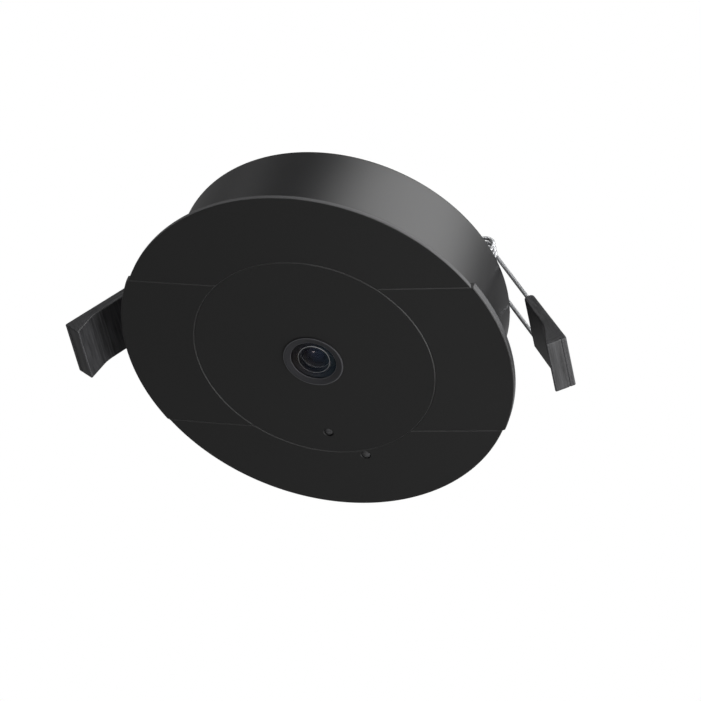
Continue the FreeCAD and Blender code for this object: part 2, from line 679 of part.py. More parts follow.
# Chassis plate between the boards, on the front bosses.

MAIN_POSTS = square_spots("main_post_offset")
chassis_plate = cylinder("barrel_bore - chassis_room", "chassis_thickness", "0", "0", "chassis_front")
connector_slot = block("connector_length + 2 * connector_room", "connector_width + 2 * connector_room",
                       "3 * chassis_thickness", "0", "connector_y", "chassis_front - chassis_thickness")
chassis_holes = holes(BOSS_SPOTS, "screw_radius + seat_gap", "3 * chassis_thickness",
                      "chassis_front - chassis_thickness")
node("chassis", cut(chassis_plate, connector_slot, *chassis_holes))
screws("chassis_screws", BOSS_SPOTS, "chassis_back", "chassis_thickness + screw_grip / 2", BODY_SCREW, True)
node("board_connector", block("connector_length", "connector_width", "main_board_front - sensor_board_back",
                              "0", "connector_y", "sensor_board_back"))
node("thermal_pad", block("pad_width_thermal", "pad_width_thermal", "pad_height_thermal",
                          "0", "0", "chassis_back"))

# Main board and what stands on it.

node("processor", block("chip_width", "chip_width", "chip_height", "0", "0", "main_board_front - chip_height"))
node("memory_chips", grouped(*[
    block("memory_width", "memory_length", "memory_height", side + "memory_offset", "0",
          "main_board_front - memory_height") for side in ("", "-")]))
main_plate = cylinder("main_board_radius", "main_board_thickness", "0", "0", "main_board_front")
main_holes = holes(MAIN_POSTS, "board_screw_radius + fit_gap", "2 * main_board_thickness",
                   "main_board_front - main_board_thickness / 2")
node("main_board", cut(main_plate, *main_holes))
posts("board_standoffs", MAIN_POSTS, "main_board_front - chassis_back", "chassis_back")
screws("main_board_screws", MAIN_POSTS, "main_board_back",
       "main_board_back - chassis_back - fit_gap", BOARD_SCREW, True)
node("power_transformer", block("transformer_length", "transformer_width", "transformer_height",
                                "transformer_x", "transformer_y", "main_board_back"))
node("capacitors", grouped(*[
    cylinder("capacitor_radius", "capacitor_height", "capacitor_x", "%d * capacitor_pitch" % place,
             "main_board_back") for place in (-1, 0, 1)]))

# Network socket: it stands on the main board and opens through the rear cover.

SOCKET_FLOOR = "socket_top - socket_mouth_length"
MOUTH_WALL = "socket_y - socket_mouth_depth / 2"
node("network_socket", cut(
    block("socket_width", "socket_depth", "socket_top - (main_board_back)", "0", "socket_y", "main_board_back"),
    block("socket_mouth_width", "socket_mouth_depth", "socket_mouth_length + fit_gap", "0", "socket_y",
          SOCKET_FLOOR),
    block("latch_width", "2 * latch_depth", "socket_mouth_length + fit_gap", "0",
          "socket_y + socket_mouth_depth / 2", SOCKET_FLOOR)))
node("network_contacts", grouped(*[
    block("contact_width", "contact_height", "contact_length",
          "contact_pitch * %.1f" % (place - (CONTACT_COUNT - 1) / 2), MOUTH_WALL + " + contact_height / 2",
          SOCKET_FLOOR) for place in range(CONTACT_COUNT)]))

# Rear cover, sunk in the barrel's rebate.

BRACKET_SPOTS = [("%s(bracket_screw_x)" % sx, "%sbracket_screw_y" % sy) for sx in ("", "-") for sy in ("", "-")]
cover_plate = cylinder("rebate_radius - fit_gap", "rear_cover_thickness", "0", "0", "rear_inside")
socket_window = block("socket_width + 4 * fit_gap", "socket_depth + 4 * fit_gap", "3 * rear_cover_thickness",
                      "0", "socket_y", "rear_inside - rear_cover_thickness")
cover_holes = holes(COVER_SPOTS, "screw_radius + seat_gap", "3 * rear_cover_thickness",
                    "rear_inside - rear_cover_thickness")
bracket_holes = holes(BRACKET_SPOTS, "board_screw_radius + seat_gap", "3 * rear_cover_thickness",
                      "rear_inside - rear_cover_thickness")
node("rear_cover", cut(cover_plate, socket_window, *(cover_holes + bracket_holes)))
screws("cover_screws", COVER_SPOTS, "barrel_depth", "rear_cover_thickness + screw_grip", BODY_SCREW, True)


# Spring clips, right and left: bracket, pin, wire spring and pad.

def clip_bracket():
    """Bent sheet: a base on the rear cover and two ears between the spring's arms, rounded round the pin."""
    base_width = "bracket_edge - bracket_inner"
    base = block(base_width, "bracket_width", "bracket_sheet", "(bracket_edge + bracket_inner) / 2", "0",
                 "barrel_depth")
    parts = [base]
    for side in ("", "-"):
        middle = side + "(ear_inner + ear_outer) / 2"
        parts.append(block("axis_reach - bracket_inner", "bracket_sheet", "axis_height - barrel_depth",
                           "(axis_reach + bracket_inner) / 2", middle, "barrel_depth"))
        parts.append(cross_cylinder("ear_radius", "bracket_sheet", "axis_reach",
                                    middle + " - bracket_sheet / 2", "axis_height"))
    pin_way = cross_cylinder("pin_radius + seat_gap", "4 * ear_outer", "axis_reach", "0 - 2 * ear_outer",
                             "axis_height")
    screw_ways = holes([("bracket_screw_x", "bracket_screw_y"), ("bracket_screw_x", "-bracket_screw_y")],
                       "board_screw_radius + seat_gap", "3 * bracket_sheet", "barrel_depth - bracket_sheet")
    return cut(joined(*parts), pin_way, *screw_ways)


def clip_pin():
    """Pin pressed through both ears; its ends carry the coils and have thinner tips to lead them on."""
    shaft = cross_cylinder("pin_radius", "2 * pin_end", "axis_reach", "0 - pin_end", "axis_height")
    tips = cross_cylinder("pin_tip_radius", "2 * (pin_end + pin_tip)", "axis_reach", "0 - pin_end - pin_tip",
                          "axis_height")
    return joined(shaft, tips)


def bracket_screws():
    return grouped(*[screw(("bracket_screw_x", y), "barrel_depth + bracket_sheet",
                           "bracket_sheet + rear_cover_thickness", *BOARD_SCREW, True)
                     for y in ("bracket_screw_y", "-bracket_screw_y")])


# The spring is drawn with the pin along Y at the origin and the arms along +X.
COIL = value("coil_radius")
PITCH = value("coil_pitch")
WIRE = value("wire_radius")
ARM_END = value("pad_start + bridge_depth")
BEND = value("bridge_radius")
ARM_PLACE = value("arm_offset")


def bend_arc(start, corner, end):
    """Arc that leaves start towards corner and reaches end from it, both equally far away."""
    chord_middle = (start + end) * 0.5
    reach = (corner - start).Length
    half = (end - start).Length / 2
    height = (corner - chord_middle).Length
    sag = half * (reach - half) / height
    top = chord_middle + (corner - chord_middle).normalize() * sag
    return Part.Arc(start, top, end).toShape()


def biarc(start, start_way, end, end_way):
    """Two arcs, in line with each other, from start to end along the two given directions."""
    span = end - start
    ways = start_way + end_way
    spread = 2 * (1 - start_way.dot(end_way))
    across = span.dot(ways)
    reach = (math.sqrt(across * across + spread * span.dot(span)) - across) / spread
    first = start + start_way * reach
    second = end - end_way * reach
    middle = (first + second) * 0.5
    return [bend_arc(start, first, middle), bend_arc(middle, second, end)]


def coil_spot(quarter):
    """Place and direction on the turns, counted in quarters back from where the arm leaves."""
    angle = math.pi / 2 * (1 + quarter)
    spot = Vector(COIL * math.cos(angle), -ARM_PLACE - PITCH * quarter / 4, COIL * math.sin(angle))
    rise = 0 if quarter in (0, QUARTER_TURNS) else PITCH / (2 * math.pi * COIL)
    way = Vector(math.sin(angle), rise, -math.cos(angle))
    return spot, way.normalize()


def half_wire():
    """Edges of the wire from its free end round the turns and along the arm to the clip's middle."""
    spot, way = coil_spot(QUARTER_TURNS)
    edges = [Part.LineSegment(spot - way * value("tail_length"), spot).toShape()]
    for quarter in range(QUARTER_TURNS, 0, -1):
        edges += biarc(*coil_spot(quarter), *coil_spot(quarter - 1))
    start = coil_spot(0)[0]
    corner = Vector(ARM_END, -ARM_PLACE, COIL)
    before = corner - Vector(BEND, 0, 0)
    after = corner + Vector(0, BEND, 0)
    edges.append(Part.LineSegment(start, before).toShape())
    edges.append(bend_arc(before, corner, after))
    edges.append(Part.LineSegment(after, Vector(ARM_END, 0, COIL)).toShape())
    return edges


def mirrored(edges):
    """The same edges on the other side of the clip's middle."""
    return [edge.mirror(Vector(), Vector(0, 1, 0)) for edge in edges]


def tube(edges, radius):
    """Solid wire along the edges, in one sweep."""
    path = Part.Wire(Part.__sortEdges__(edges))
    first = path.OrderedEdges[0]
    ordered = path.OrderedVertexes
    start = ordered[0].Point
    way = first.tangentAt(first.FirstParameter)
    section = Part.Wire(Part.Circle(start, way, radius).toShape())
    return path.makePipeShell([section], True, False)


half = half_wire()
spring_shape = tube(half + mirrored(half), WIRE)
# The pad's channel follows the arms from in front of the pad to the bridge.
channel_start = Vector(value("pad_start") - 2 * BEND, -ARM_PLACE, COIL)
channel_half = [Part.LineSegment(channel_start, half[-3].Vertexes[1].Point).toShape(), half[-2], half[-1]]
channel_shape = tube(channel_half + mirrored(channel_half), WIRE + value("seat_gap"))


POINT_SPACING = 0.25


def print_least_gap():
    """Least gap of the turns to themselves, measured on points along the wire's middle."""
    points = []
    for edge in half:
        count = max(2, int(edge.Length / POINT_SPACING))
        points += edge.discretize(count + 1)[:-1]
    lengths = [0.0]
    for before, after in zip(points, points[1:]):
        lengths.append(lengths[-1] + (after - before).Length)
    apart = COIL * math.pi
    gaps = [(a - b).Length - 2 * WIRE for i, a in enumerate(points) for j, b in enumerate(points[:i])
            if lengths[i] - lengths[j] > apart]
    print("spring wire: least gap to itself %.2f mm" % min(gaps))


print_least_gap()


def ends_hollow(edge, bend):
    """Whether an edge runs straight across the pad just beside the bend, where the hollow meets the flats."""
    middle = edge.CenterOfMass
    return abs(middle.y) < PLACE_SLACK and 0 < (middle - bend).Length < value("foot_blend") / 4


def clip_pad_blank():
    """Side outline of the pad, pulled out to its width: a flat shank that a hollow joins to a wedge-shaped
    foot. Every edge is rounded, apart from the two where the hollow starts and ends."""
    body = doc.addObject("PartDesign::Body", "pad_body")
    top = "coil_radius + shank_thickness / 2"
    corners = [
        ("pad_start", "coil_radius - tip_thickness / 2"),
        ("pad_start + foot_start", top + " - shank_thickness"),
        ("pad_start + pad_length - heel_setback", top + " - foot_depth"),
        ("pad_start + pad_length", top),
        ("pad_start", "coil_radius + tip_thickness / 2"),
    ]
    sketch = outline(body, "XZ_Plane", corners)
    bind(sketch, {"AttachmentOffset.Base.z": "0 - pad_width / 2"})
    pull = body.newObject("PartDesign::Pad", "pull")
    pull.Profile = sketch
    bind(pull, {"Length": "pad_width"})
    body.Tip = pull
    doc.recompute()
    bend = Vector(value(corners[1][0]), 0, value(corners[1][1]))
    inner = [i for i, edge in enumerate(pull.Shape.Edges)
             if (edge.CenterOfMass - bend).Length < PLACE_SLACK]
    hollow = body.newObject("PartDesign::Fillet", "hollow")
    hollow.Base = (pull, ["Edge%d" % (i + 1) for i in inner])
    bind(hollow, {"Radius": "foot_blend"})
    body.Tip = hollow
    doc.recompute()
    soften = body.newObject("PartDesign::Fillet", "soften")
    soften.Base = (hollow, ["Edge%d" % (i + 1) for i, edge in enumerate(hollow.Shape.Edges)
                            if not ends_hollow(edge, bend)])
    bind(soften, {"Radius": "pad_round"})
    body.Tip = soften
    doc.recompute()
    return body


SIDES = (("right", 0), ("left", 180))
hinge = Placement(Vector(value("axis_reach"), 0, value("axis_height")),
                  Rotation(Vector(0, 1, 0), value("arm_angle")))
for side, turn_angle in SIDES:
    about = Placement(Vector(), Rotation(Vector(0, 0, 1), turn_angle))
    node("clip_bracket_%s" % side, clip_bracket()).Placement = about
    node("clip_pin_%s" % side, clip_pin()).Placement = about
    node("bracket_screws_%s" % side, bracket_screws()).Placement = about
    spring = node("clip_spring_%s" % side, doc.addObject("Part::Feature", "spring"))
    spring.Shape = spring_shape
    spring.Placement = about.multiply(hinge)
    channel = doc.addObject("Part::Feature", "channel")
    channel.Shape = channel_shape
    groove = block("2 * sole_groove_depth", "2 * pad_width", "sole_groove",
                   "pad_start + pad_length - heel_setback * sole_groove_place / foot_depth", "0",
                   "coil_radius + shank_thickness / 2 - sole_groove_place - sole_groove / 2")
    pad = node("clip_pad_%s" % side, cut(clip_pad_blank(), channel, groove))
    pad.Placement = about.multiply(hinge)

doc.recompute()

for thing in doc.Objects:
    if "Invalid" in thing.State or "Error" in thing.State:
        raise RuntimeError("object %s (%s) is not right: %s" % (thing.Name, thing.Label, thing.State))
for label, thing in NODES.items():
    if thing.Shape.isNull() or not thing.Shape.isValid() or not thing.Shape.Solids:
        raise RuntimeError("sub-part %s has no valid solid" % label)

print("hinge axis: x %.3f mm, z %.3f mm" % (value("axis_reach"), value("axis_height")))
os.makedirs("parts", exist_ok=True)
for label, thing in NODES.items():
    thing.Shape.exportStep(os.path.join("parts", label + ".step"))
print("%d sub-parts written" % len(NODES))
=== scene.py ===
import json
import bmesh
import bpy
import numpy as np
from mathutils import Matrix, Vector


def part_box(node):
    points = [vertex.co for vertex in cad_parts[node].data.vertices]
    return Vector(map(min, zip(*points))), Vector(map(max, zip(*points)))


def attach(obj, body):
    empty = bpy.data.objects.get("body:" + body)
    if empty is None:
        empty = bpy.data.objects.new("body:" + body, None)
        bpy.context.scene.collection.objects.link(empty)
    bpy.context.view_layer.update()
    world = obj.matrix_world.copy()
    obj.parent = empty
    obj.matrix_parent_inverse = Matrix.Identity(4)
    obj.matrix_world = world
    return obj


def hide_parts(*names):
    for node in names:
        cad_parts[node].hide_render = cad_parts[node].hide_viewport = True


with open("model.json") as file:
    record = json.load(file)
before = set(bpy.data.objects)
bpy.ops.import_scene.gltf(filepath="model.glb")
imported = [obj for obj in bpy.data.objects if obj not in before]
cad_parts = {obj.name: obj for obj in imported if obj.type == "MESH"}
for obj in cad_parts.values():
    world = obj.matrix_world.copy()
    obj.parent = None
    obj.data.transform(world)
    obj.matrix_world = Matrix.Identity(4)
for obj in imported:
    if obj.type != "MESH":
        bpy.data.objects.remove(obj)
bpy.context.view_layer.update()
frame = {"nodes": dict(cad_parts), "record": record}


# Housing: the barrel that goes up through the ceiling, with the flange that seats on it.
# Die-cast aluminium under satin black paint, with a chamfered rear edge and eight screw bosses inside.

MM = 0.001  # sizes are in millimetres, the scene is in metres


def rounded(corners, radii, steps=6):
    """Closed outline whose corners are true arcs: a rational quadratic curve from the point that lies
    radius x tan(half turn) before the corner to the one after it, weighted by cos(half turn)."""
    corners = np.asarray(corners, float)
    before = np.roll(corners, 1, axis=0) - corners
    after = np.roll(corners, -1, axis=0) - corners
    length_before = np.linalg.norm(before, axis=1, keepdims=True)
    length_after = np.linalg.norm(after, axis=1, keepdims=True)
    before, after = before / length_before, after / length_after
    half_turn = (np.pi - np.arccos(np.clip((before * after).sum(1), -1, 1)))[:, None] / 2
    reach = np.broadcast_to(radii, len(corners))[:, None] * np.tan(half_turn)
    reach = np.minimum(reach, 0.49 * np.minimum(length_before, length_after))
    start = (corners + before * reach)[:, None]
    end = (corners + after * reach)[:, None]
    weight = np.cos(half_turn)[:, None]
    share = np.linspace(0, 1, steps)[None, :, None]
    middle = 2 * weight * share * (1 - share)
    over = (1 - share) ** 2 * start + middle * corners[:, None] + share ** 2 * end
    return (over / ((1 - share) ** 2 + middle + share ** 2)).reshape(-1, 2)


def grid_shell(points, round_rows=True, round_columns=True):
    """Points in rows and columns, with a quad between each four neighbours; either way can close."""
    rows, columns = points.shape[:2]
    row = np.arange(rows if round_rows else rows - 1)[:, None]
    column = np.arange(columns if round_columns else columns - 1)[None]
    next_row, next_column = (row + 1) % rows, (column + 1) % columns
    quads = np.stack([row * columns + column, next_row * columns + column,
                      next_row * columns + next_column, row * columns + next_column], -1)
    return points.reshape(-1, 3), quads.reshape(-1, 4).tolist()


def turned(outline, steps=240, at=(0, 0)):
    """Outline of radius and height taken round an upright line: x = r cos a, y = r sin a."""
    angle = np.linspace(0, 2 * np.pi, steps, endpoint=False)[:, None]
    radius, height = np.asarray(outline, float).T
    x, y = at[0] + radius * np.cos(angle), at[1] + radius * np.sin(angle)
    return grid_shell(np.stack([x, y, np.broadcast_to(height, x.shape)], -1))


def merged_mesh(name, shells):
    """One mesh out of closed shells in mm, with doubles merged and faces turned outwards."""
    faces, points, count = [], [], 0
    for shell_points, shell_faces in shells:
        points.append(shell_points)
        faces += [[corner + count for corner in face] for face in shell_faces]
        count += len(shell_points)
    mesh = bpy.data.meshes.new(name)
    mesh.from_pydata((np.concatenate(points) * MM).tolist(), [], faces)
    work = bmesh.new()
    work.from_mesh(mesh)
    bmesh.ops.remove_doubles(work, verts=work.verts, dist=1e-6)
    bmesh.ops.recalc_face_normals(work, faces=work.faces)
    work.to_mesh(mesh)
    work.free()
    return mesh


def placed(name, data):
    """New object at the origin, linked to the scene."""
    thing = bpy.data.objects.new(name, data)
    bpy.context.collection.objects.link(thing)
    return thing


def smooth(mesh, sharp=32):
    """Smooth shading with creases where faces meet at more than sharp degrees."""
    mesh.polygons.foreach_set("use_smooth", np.ones(len(mesh.polygons), bool))
    mesh.set_sharp_from_angle(angle=np.radians(sharp))


def make_piece(name, shells, material, slot, *nodes, body="root", sharp=32):
    """One finished piece out of closed shells, on its body and in the place of its CAD nodes."""
    mesh = merged_mesh(name, shells)
    smooth(mesh, sharp)
    mesh.materials.append(material)
    piece = placed(name, mesh)
    piece.modifiers.new("even_normals", "WEIGHTED_NORMAL").keep_sharp = True
    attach(piece, body)
    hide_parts(*nodes)
    return piece


def linear(hex_text):
    """sRGB hex to the linear colour that shaders take."""
    value = np.array([int(hex_text[i:i + 2], 16) for i in (0, 2, 4)]) / 255
    low, high = value / 12.92, ((value + 0.055) / 1.055) ** 2.4
    return (*np.where(value <= 0.04045, low, high).tolist(), 1.0)


def add(tree, kind, inputs=None, **properties):
    """Add a shader node, set its properties, and link or set each input. A node that is given as an input
    stands for the first output that it has in use."""
    node = tree.nodes.new("ShaderNode" + kind)
    for name, value in properties.items():
        setattr(node, name, value)
    for name, value in (inputs or {}).items():
        if isinstance(value, bpy.types.Node):
            value = next(output for output in value.outputs if output.enabled)
        if isinstance(value, bpy.types.NodeSocket):
            tree.links.new(value, node.inputs[name])
        else:
            node.inputs[name].default_value = value
    return node


def start_material(name):
    """Empty node material and the piece's own coordinates."""
    material = bpy.data.materials.new(name)
    material.use_nodes = True
    tree = material.node_tree
    tree.nodes.clear()
    return material, tree, add(tree, "TexCoord").outputs["Object"]


def axis_distance(tree, place):
    """Distance from the camera's axis: the length of the place with its height taken out."""
    flat = add(tree, "VectorMath", {0: place, 1: (1.0, 1.0, 0.0)}, operation="MULTIPLY")
    return add(tree, "VectorMath", {0: flat}, operation="LENGTH")


def finished(material, tint, gloss, relief, strength, depth, others):
    """End of a material: its colour, its gloss and a bump of depth mm on one Principled shader."""
    tree = material.node_tree
    bump = add(tree, "Bump", {"Height": relief, "Strength": strength, "Distance": depth * MM})
    skin = add(tree, "BsdfPrincipled", {"Base Color": tint, "Roughness": gloss, "Normal": bump, **others})
    add(tree, "OutputMaterial", {"Surface": skin})
    return material


def satin_black_paint(edge):
    """Sprayed paint: a slow waviness of 0.9 mm, and colour and gloss that drift a little. It dries thin and
    dull where radius + height is over edge mm, which is the barrel's sharp rear edge."""
    material, tree, place = start_material("satin_black_paint")
    height = add(tree, "SeparateXYZ", {0: place}).outputs[2]
    reach = add(tree, "Math", {0: axis_distance(tree, place), 1: height}, operation="ADD")
    dry = add(tree, "Math", {0: reach, 1: edge * MM}, operation="GREATER_THAN")
    peel = add(tree, "TexNoise", {"Vector": place, "Scale": 1 / (0.9 * MM), "Detail": 2.0})
    drift = add(tree, "TexNoise", {"Vector": place, "Scale": 1 / (18 * MM), "Detail": 3.0})
    tint = add(tree, "Mix", {0: drift, 6: linear("1b1b1c"), 7: linear("232324")}, data_type="RGBA")
    gloss = add(tree, "MapRange", {"Value": drift, 3: 0.3, 4: 0.36})
    gloss = add(tree, "Mix", {0: dry, 2: gloss, 3: 0.9})
    return finished(material, tint, gloss, peel, 0.5, 0.004, {"Specular IOR Level": 0.36})


low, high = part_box("housing")
flange_radius = high.x / MM
barrel_radius = frame["record"]["mounts"][0]["dims"]["r_mm"]
barrel_depth = high.z / MM
flange_front = low.z / MM
barrel_wall = 2.0
rear_chamfer = 0.8
rebate_wall = 1.3
cover_plate = 2.0
barrel_bore = barrel_radius - barrel_wall
dull_margin = 0.25
# Satin black paint: a soft broad sheen with long pale reflections, and a thin dull line at the rear edge.
satin_paint = satin_black_paint(barrel_radius + barrel_depth - rear_chamfer - dull_margin)
barrel_outline = rounded([
    (barrel_bore, flange_front), (flange_radius, flange_front), (flange_radius, 0),
    (barrel_radius, 0), (barrel_radius, barrel_depth - rear_chamfer),
    (barrel_radius - rear_chamfer, barrel_depth), (barrel_radius - rebate_wall, barrel_depth),
    (barrel_radius - rebate_wall, barrel_depth - cover_plate),
    (barrel_bore, barrel_depth - cover_plate),
], [0, 0.15, 0.15, 0.1, 0.25, 0.25, 0.1, 0, 0])


def ring_spots(angles, radius):
    """Places at angles, in degrees, on a circle."""
    turn = np.radians(angles)
    return np.stack([radius * np.cos(turn), radius * np.sin(turn)], 1)


def boss(spot, low, high, radius=3.4, bore=1.3):
    """Screw boss: a tube with a square section of wall."""
    return turned([(bore, low), (radius, low), (radius, high), (bore, high)], 48, spot)


boss_ring = barrel_bore - 2.8
frame_boss_top = 10.2
cover_boss_low = 12.0
frame_spots = ring_spots([45, 135, 225, 315], boss_ring)
cover_spots = ring_spots([60, 120, 240, 300], boss_ring)
boss_shells = [boss(spot, flange_front, frame_boss_top) for spot in frame_spots]
boss_shells += [boss(spot, cover_boss_low, barrel_depth - cover_plate) for spot in cover_spots]
make_piece("barrel_housing", [turned(barrel_outline, 288), *boss_shells], satin_paint,
           "barrel_black", "housing")


# Seal in the flange and boot round the microphone: soft black silicone, moulded, with a dull sheen.
# Both are pressed in their seats by the face frame.

def dress(material, *nodes):
    """Give carried-over nodes this material."""
    for node in nodes:
        mesh = frame["nodes"][node].data
        mesh.materials.clear()
        mesh.materials.append(material)


def moulded_rubber(name, dark, light, streak, relief):
    """Moulded rubber: flow streaks along Y, a fine grain across them, and a broad dull gloss."""
    material, tree, place = start_material(name)
    along = add(tree, "Mapping", {"Vector": place, "Scale": (1.0, 0.045, 1.0)})
    streaks = add(tree, "TexNoise", {
        "Vector": along, "Scale": 1 / (streak * MM), "Detail": 4.0, "Roughness": 0.6})
    grain = add(tree, "TexNoise", {"Vector": place, "Scale": 1 / (0.35 * MM), "Detail": 2.0})
    share = add(tree, "MapRange", {"Value": streaks, 1: 0.3, 2: 0.7})
    tint = add(tree, "Mix", {0: share, 6: linear(dark), 7: linear(light)}, data_type="RGBA")
    gloss = add(tree, "MapRange", {"Value": grain, 3: 0.42, 4: 0.62})
    height = add(tree, "Math", {0: streaks, 1: grain}, operation="ADD")
    return finished(material, tint, gloss, height, 0.6, relief, {"Specular IOR Level": 0.4, "IOR": 1.52})


silicone = moulded_rubber("moulded_silicone", "0f0f10", "181819", 1.5, 0.01)
dress(silicone, "front_seal", "mic_boot")


# Chassis: a punched aluminium plate on the front bosses that carries heat from the processor.
# Rolled sheet, so fine rolling lines run one way across it; the blue-grey pad under it is soft silicone.

def worked_metal(name, dark, light, roughness, line, stretch, metallic=1.0):
    """Bare metal: tool or rolling lines, line mm apart and drawn out along one axis by stretch."""
    material, tree, place = start_material(name)
    along = add(tree, "Mapping", {"Vector": place, "Scale": stretch})
    lines = add(tree, "TexNoise", {
        "Vector": along, "Scale": 1 / (line * MM), "Detail": 5.0, "Roughness": 0.65})
    stain = add(tree, "TexNoise", {"Vector": place, "Scale": 1 / (6 * MM), "Detail": 3.0})
    tint = add(tree, "Mix", {0: stain, 6: linear(dark), 7: linear(light)}, data_type="RGBA")
    gloss = add(tree, "MapRange", {"Value": lines, 3: roughness - 0.08, 4: roughness + 0.1})
    return finished(material, tint, gloss, lines, 0.35, 0.01, {"Metallic": metallic})


dress(worked_metal("rolled_aluminium_sheet", "b4b6ba", "d2d3d6", 0.34, 0.6, (0.03, 1.0, 1.0)), "chassis")
dress(moulded_rubber("filled_silicone_pad", "7d8c99", "8e9daa", 0.8, 0.02), "thermal_pad")


# Boards: glass-epoxy laminate under green solder mask, with copper tracks that show through it.
# Tracks are 0.8 mm apart, coarser than the real ones so that they show.

def circuit_board():
    """Solder mask over a net of tracks: two crossed bands of bricks lighten it where copper lies under."""
    material, tree, place = start_material("green_solder_mask")
    tracks = add(tree, "TexBrick", {
        "Vector": place, "Color1": linear("0f4a2b"), "Color2": linear("12512f"),
        "Mortar": linear("2c7a4c"), "Scale": 1 / (8 * MM), "Mortar Size": 0.03, "Brick Width": 0.9,
        "Row Height": 0.1})
    weave = add(tree, "TexNoise", {"Vector": place, "Scale": 1 / (1.2 * MM), "Detail": 2.0})
    gloss = add(tree, "MapRange", {"Value": weave, 3: 0.25, 4: 0.4})
    return finished(material, tracks.outputs["Color"], gloss, tracks.outputs["Fac"], 0.3, 0.03,
                    {"Coat Weight": 0.3, "Coat Roughness": 0.15})


def moulded_plastic(name, dark, light, roughness, grain, relief, specular=0.5):
    """Moulded plastic: the tool's spark-eroded texture as a bump of grain mm, and slow flow marks
    that shift colour and gloss a little."""
    material, tree, place = start_material(name)
    texture = add(tree, "TexNoise", {"Vector": place, "Scale": 1 / (grain * MM), "Detail": 3.0})
    flow = add(tree, "TexNoise", {"Vector": place, "Scale": 1 / (30 * MM), "Detail": 3.0})
    tint = add(tree, "Mix", {0: flow, 6: linear(dark), 7: linear(light)}, data_type="RGBA")
    gloss = add(tree, "MapRange", {
        "Value": texture, 1: 0.3, 2: 0.7, 3: roughness - 0.05, 4: roughness + 0.05})
    return finished(material, tint, gloss, texture, 0.5, relief, {"Specular IOR Level": specular})


dress(circuit_board(), "main_board", "sensor_board")
# Transfer-moulded epoxy: nearly black and dull. Brass posts: yellow, with fine lines along the rod that they
# were turned from. Drawn tinned cans: bright grey with lines up their walls. Acrylic is pale and glossy,
# the nylon button grey and half dull.
dress(moulded_plastic("moulded_chip_epoxy", "1a1a1b", "222223", 0.55, 0.3, 0.01),
      "processor", "memory_chips", "image_sensor", "reset_switch", "board_connector", "power_transformer")
dress(worked_metal("turned_brass", "b08a4a", "c9a560", 0.3, 0.25, (1.0, 1.0, 0.2)),
      "sensor_standoffs", "board_standoffs")
dress(worked_metal("drawn_tinned_can", "b5b6b8", "c8c9cb", 0.3, 0.5, (1.0, 1.0, 0.05)),
      "capacitors", "card_slot", "mic_capsule")
dress(moulded_plastic("clear_acrylic", "c4cdcd", "d6dddd", 0.15, 0.5, 0.002), "status_led")
dress(moulded_plastic("grey_nylon_button", "b4b4b2", "c0c0be", 0.45, 0.3, 0.01), "reset_plunger")


# Network socket: glossy black nylon on the main board, open through the rear cover.
# Its eight spring contacts are phosphor bronze under gold: warm yellow and bright.

dress(moulded_plastic("glossy_black_nylon", "141414", "1a1a1a", 0.22, 0.4, 0.004), "network_socket")
dress(worked_metal("gold_plated_contact", "d8a850", "e6bd6a", 0.22, 0.3, (1.0, 1.0, 0.1)),
      "network_contacts")


# Rear cover and its screws: the same die-cast aluminium and satin paint as the barrel.
# The screws are steel, blackened in hot oxide salts to a dark, half dull grey, with a cross recess
# punched in the head.

dress(satin_paint, "rear_cover")
black_oxide = worked_metal("black_oxide_steel", "35353a", "45454a", 0.42, 0.3, (1.0, 1.0, 0.3))
dress(black_oxide, "frame_screws", "chassis_screws", "sensor_board_screws", "main_board_screws")


def screw_shell(spot, seat, radius, head_radius, head_height, grip):
    """Screw turned round its own line, with a flat top, a rounded shoulder and a plain shank. The top sinks
    by a cross: where min(|cos a|, |sin a|) x r is under half the bar's width, and r under its length."""
    shoulder = np.linspace(0, np.pi / 2, 7)
    top_radius = np.concatenate([np.linspace(0, 0.72, 14), 0.75 + 0.25 * np.sin(shoulder)]) * head_radius
    top_height = seat + head_height * np.concatenate([np.ones(14), 0.35 + 0.65 * np.cos(shoulder)])
    radii = np.concatenate([top_radius, [head_radius, radius, radius, 0]])
    heights = np.concatenate([top_height, [seat, seat, seat - grip, seat - grip]])
    step = np.linspace(0, 2 * np.pi, 64, endpoint=False)[:, None]
    cross_turn = 0.3
    angle = step + cross_turn
    x, y = radii * np.cos(angle), radii * np.sin(angle)
    bar_length, half_width, slope = 0.66 * head_radius, 0.15 * head_radius, 0.1 * head_radius
    from_bar = np.minimum(abs(np.cos(step)), abs(np.sin(step))) * radii
    across = np.clip((half_width - from_bar) / slope + 0.5, 0, 1)
    inside = np.clip((bar_length - radii) / slope + 0.5, 0, 1)
    on_top = np.arange(len(radii)) < len(top_radius)
    z = heights - 0.7 * head_height * across * inside * on_top
    return grid_shell(np.stack([spot[0] + x, spot[1] + y, z], -1))


cover_screw = {"radius": 1.25, "head_radius": 2.4, "head_height": 1.2, "grip": 7.0}
make_piece("cover_screw_set", [screw_shell(spot, barrel_depth, **cover_screw) for spot in cover_spots],
           black_oxide, "screw_steel", "cover_screws")


# Clip brackets and pins, right and left: zinc-plated steel sheet, bent up into two ears,
# with a plain steel pin pressed through them. The plating is a pale, slightly blue grey, half dull.
# Two blackened screws hold each bracket on the rear cover.

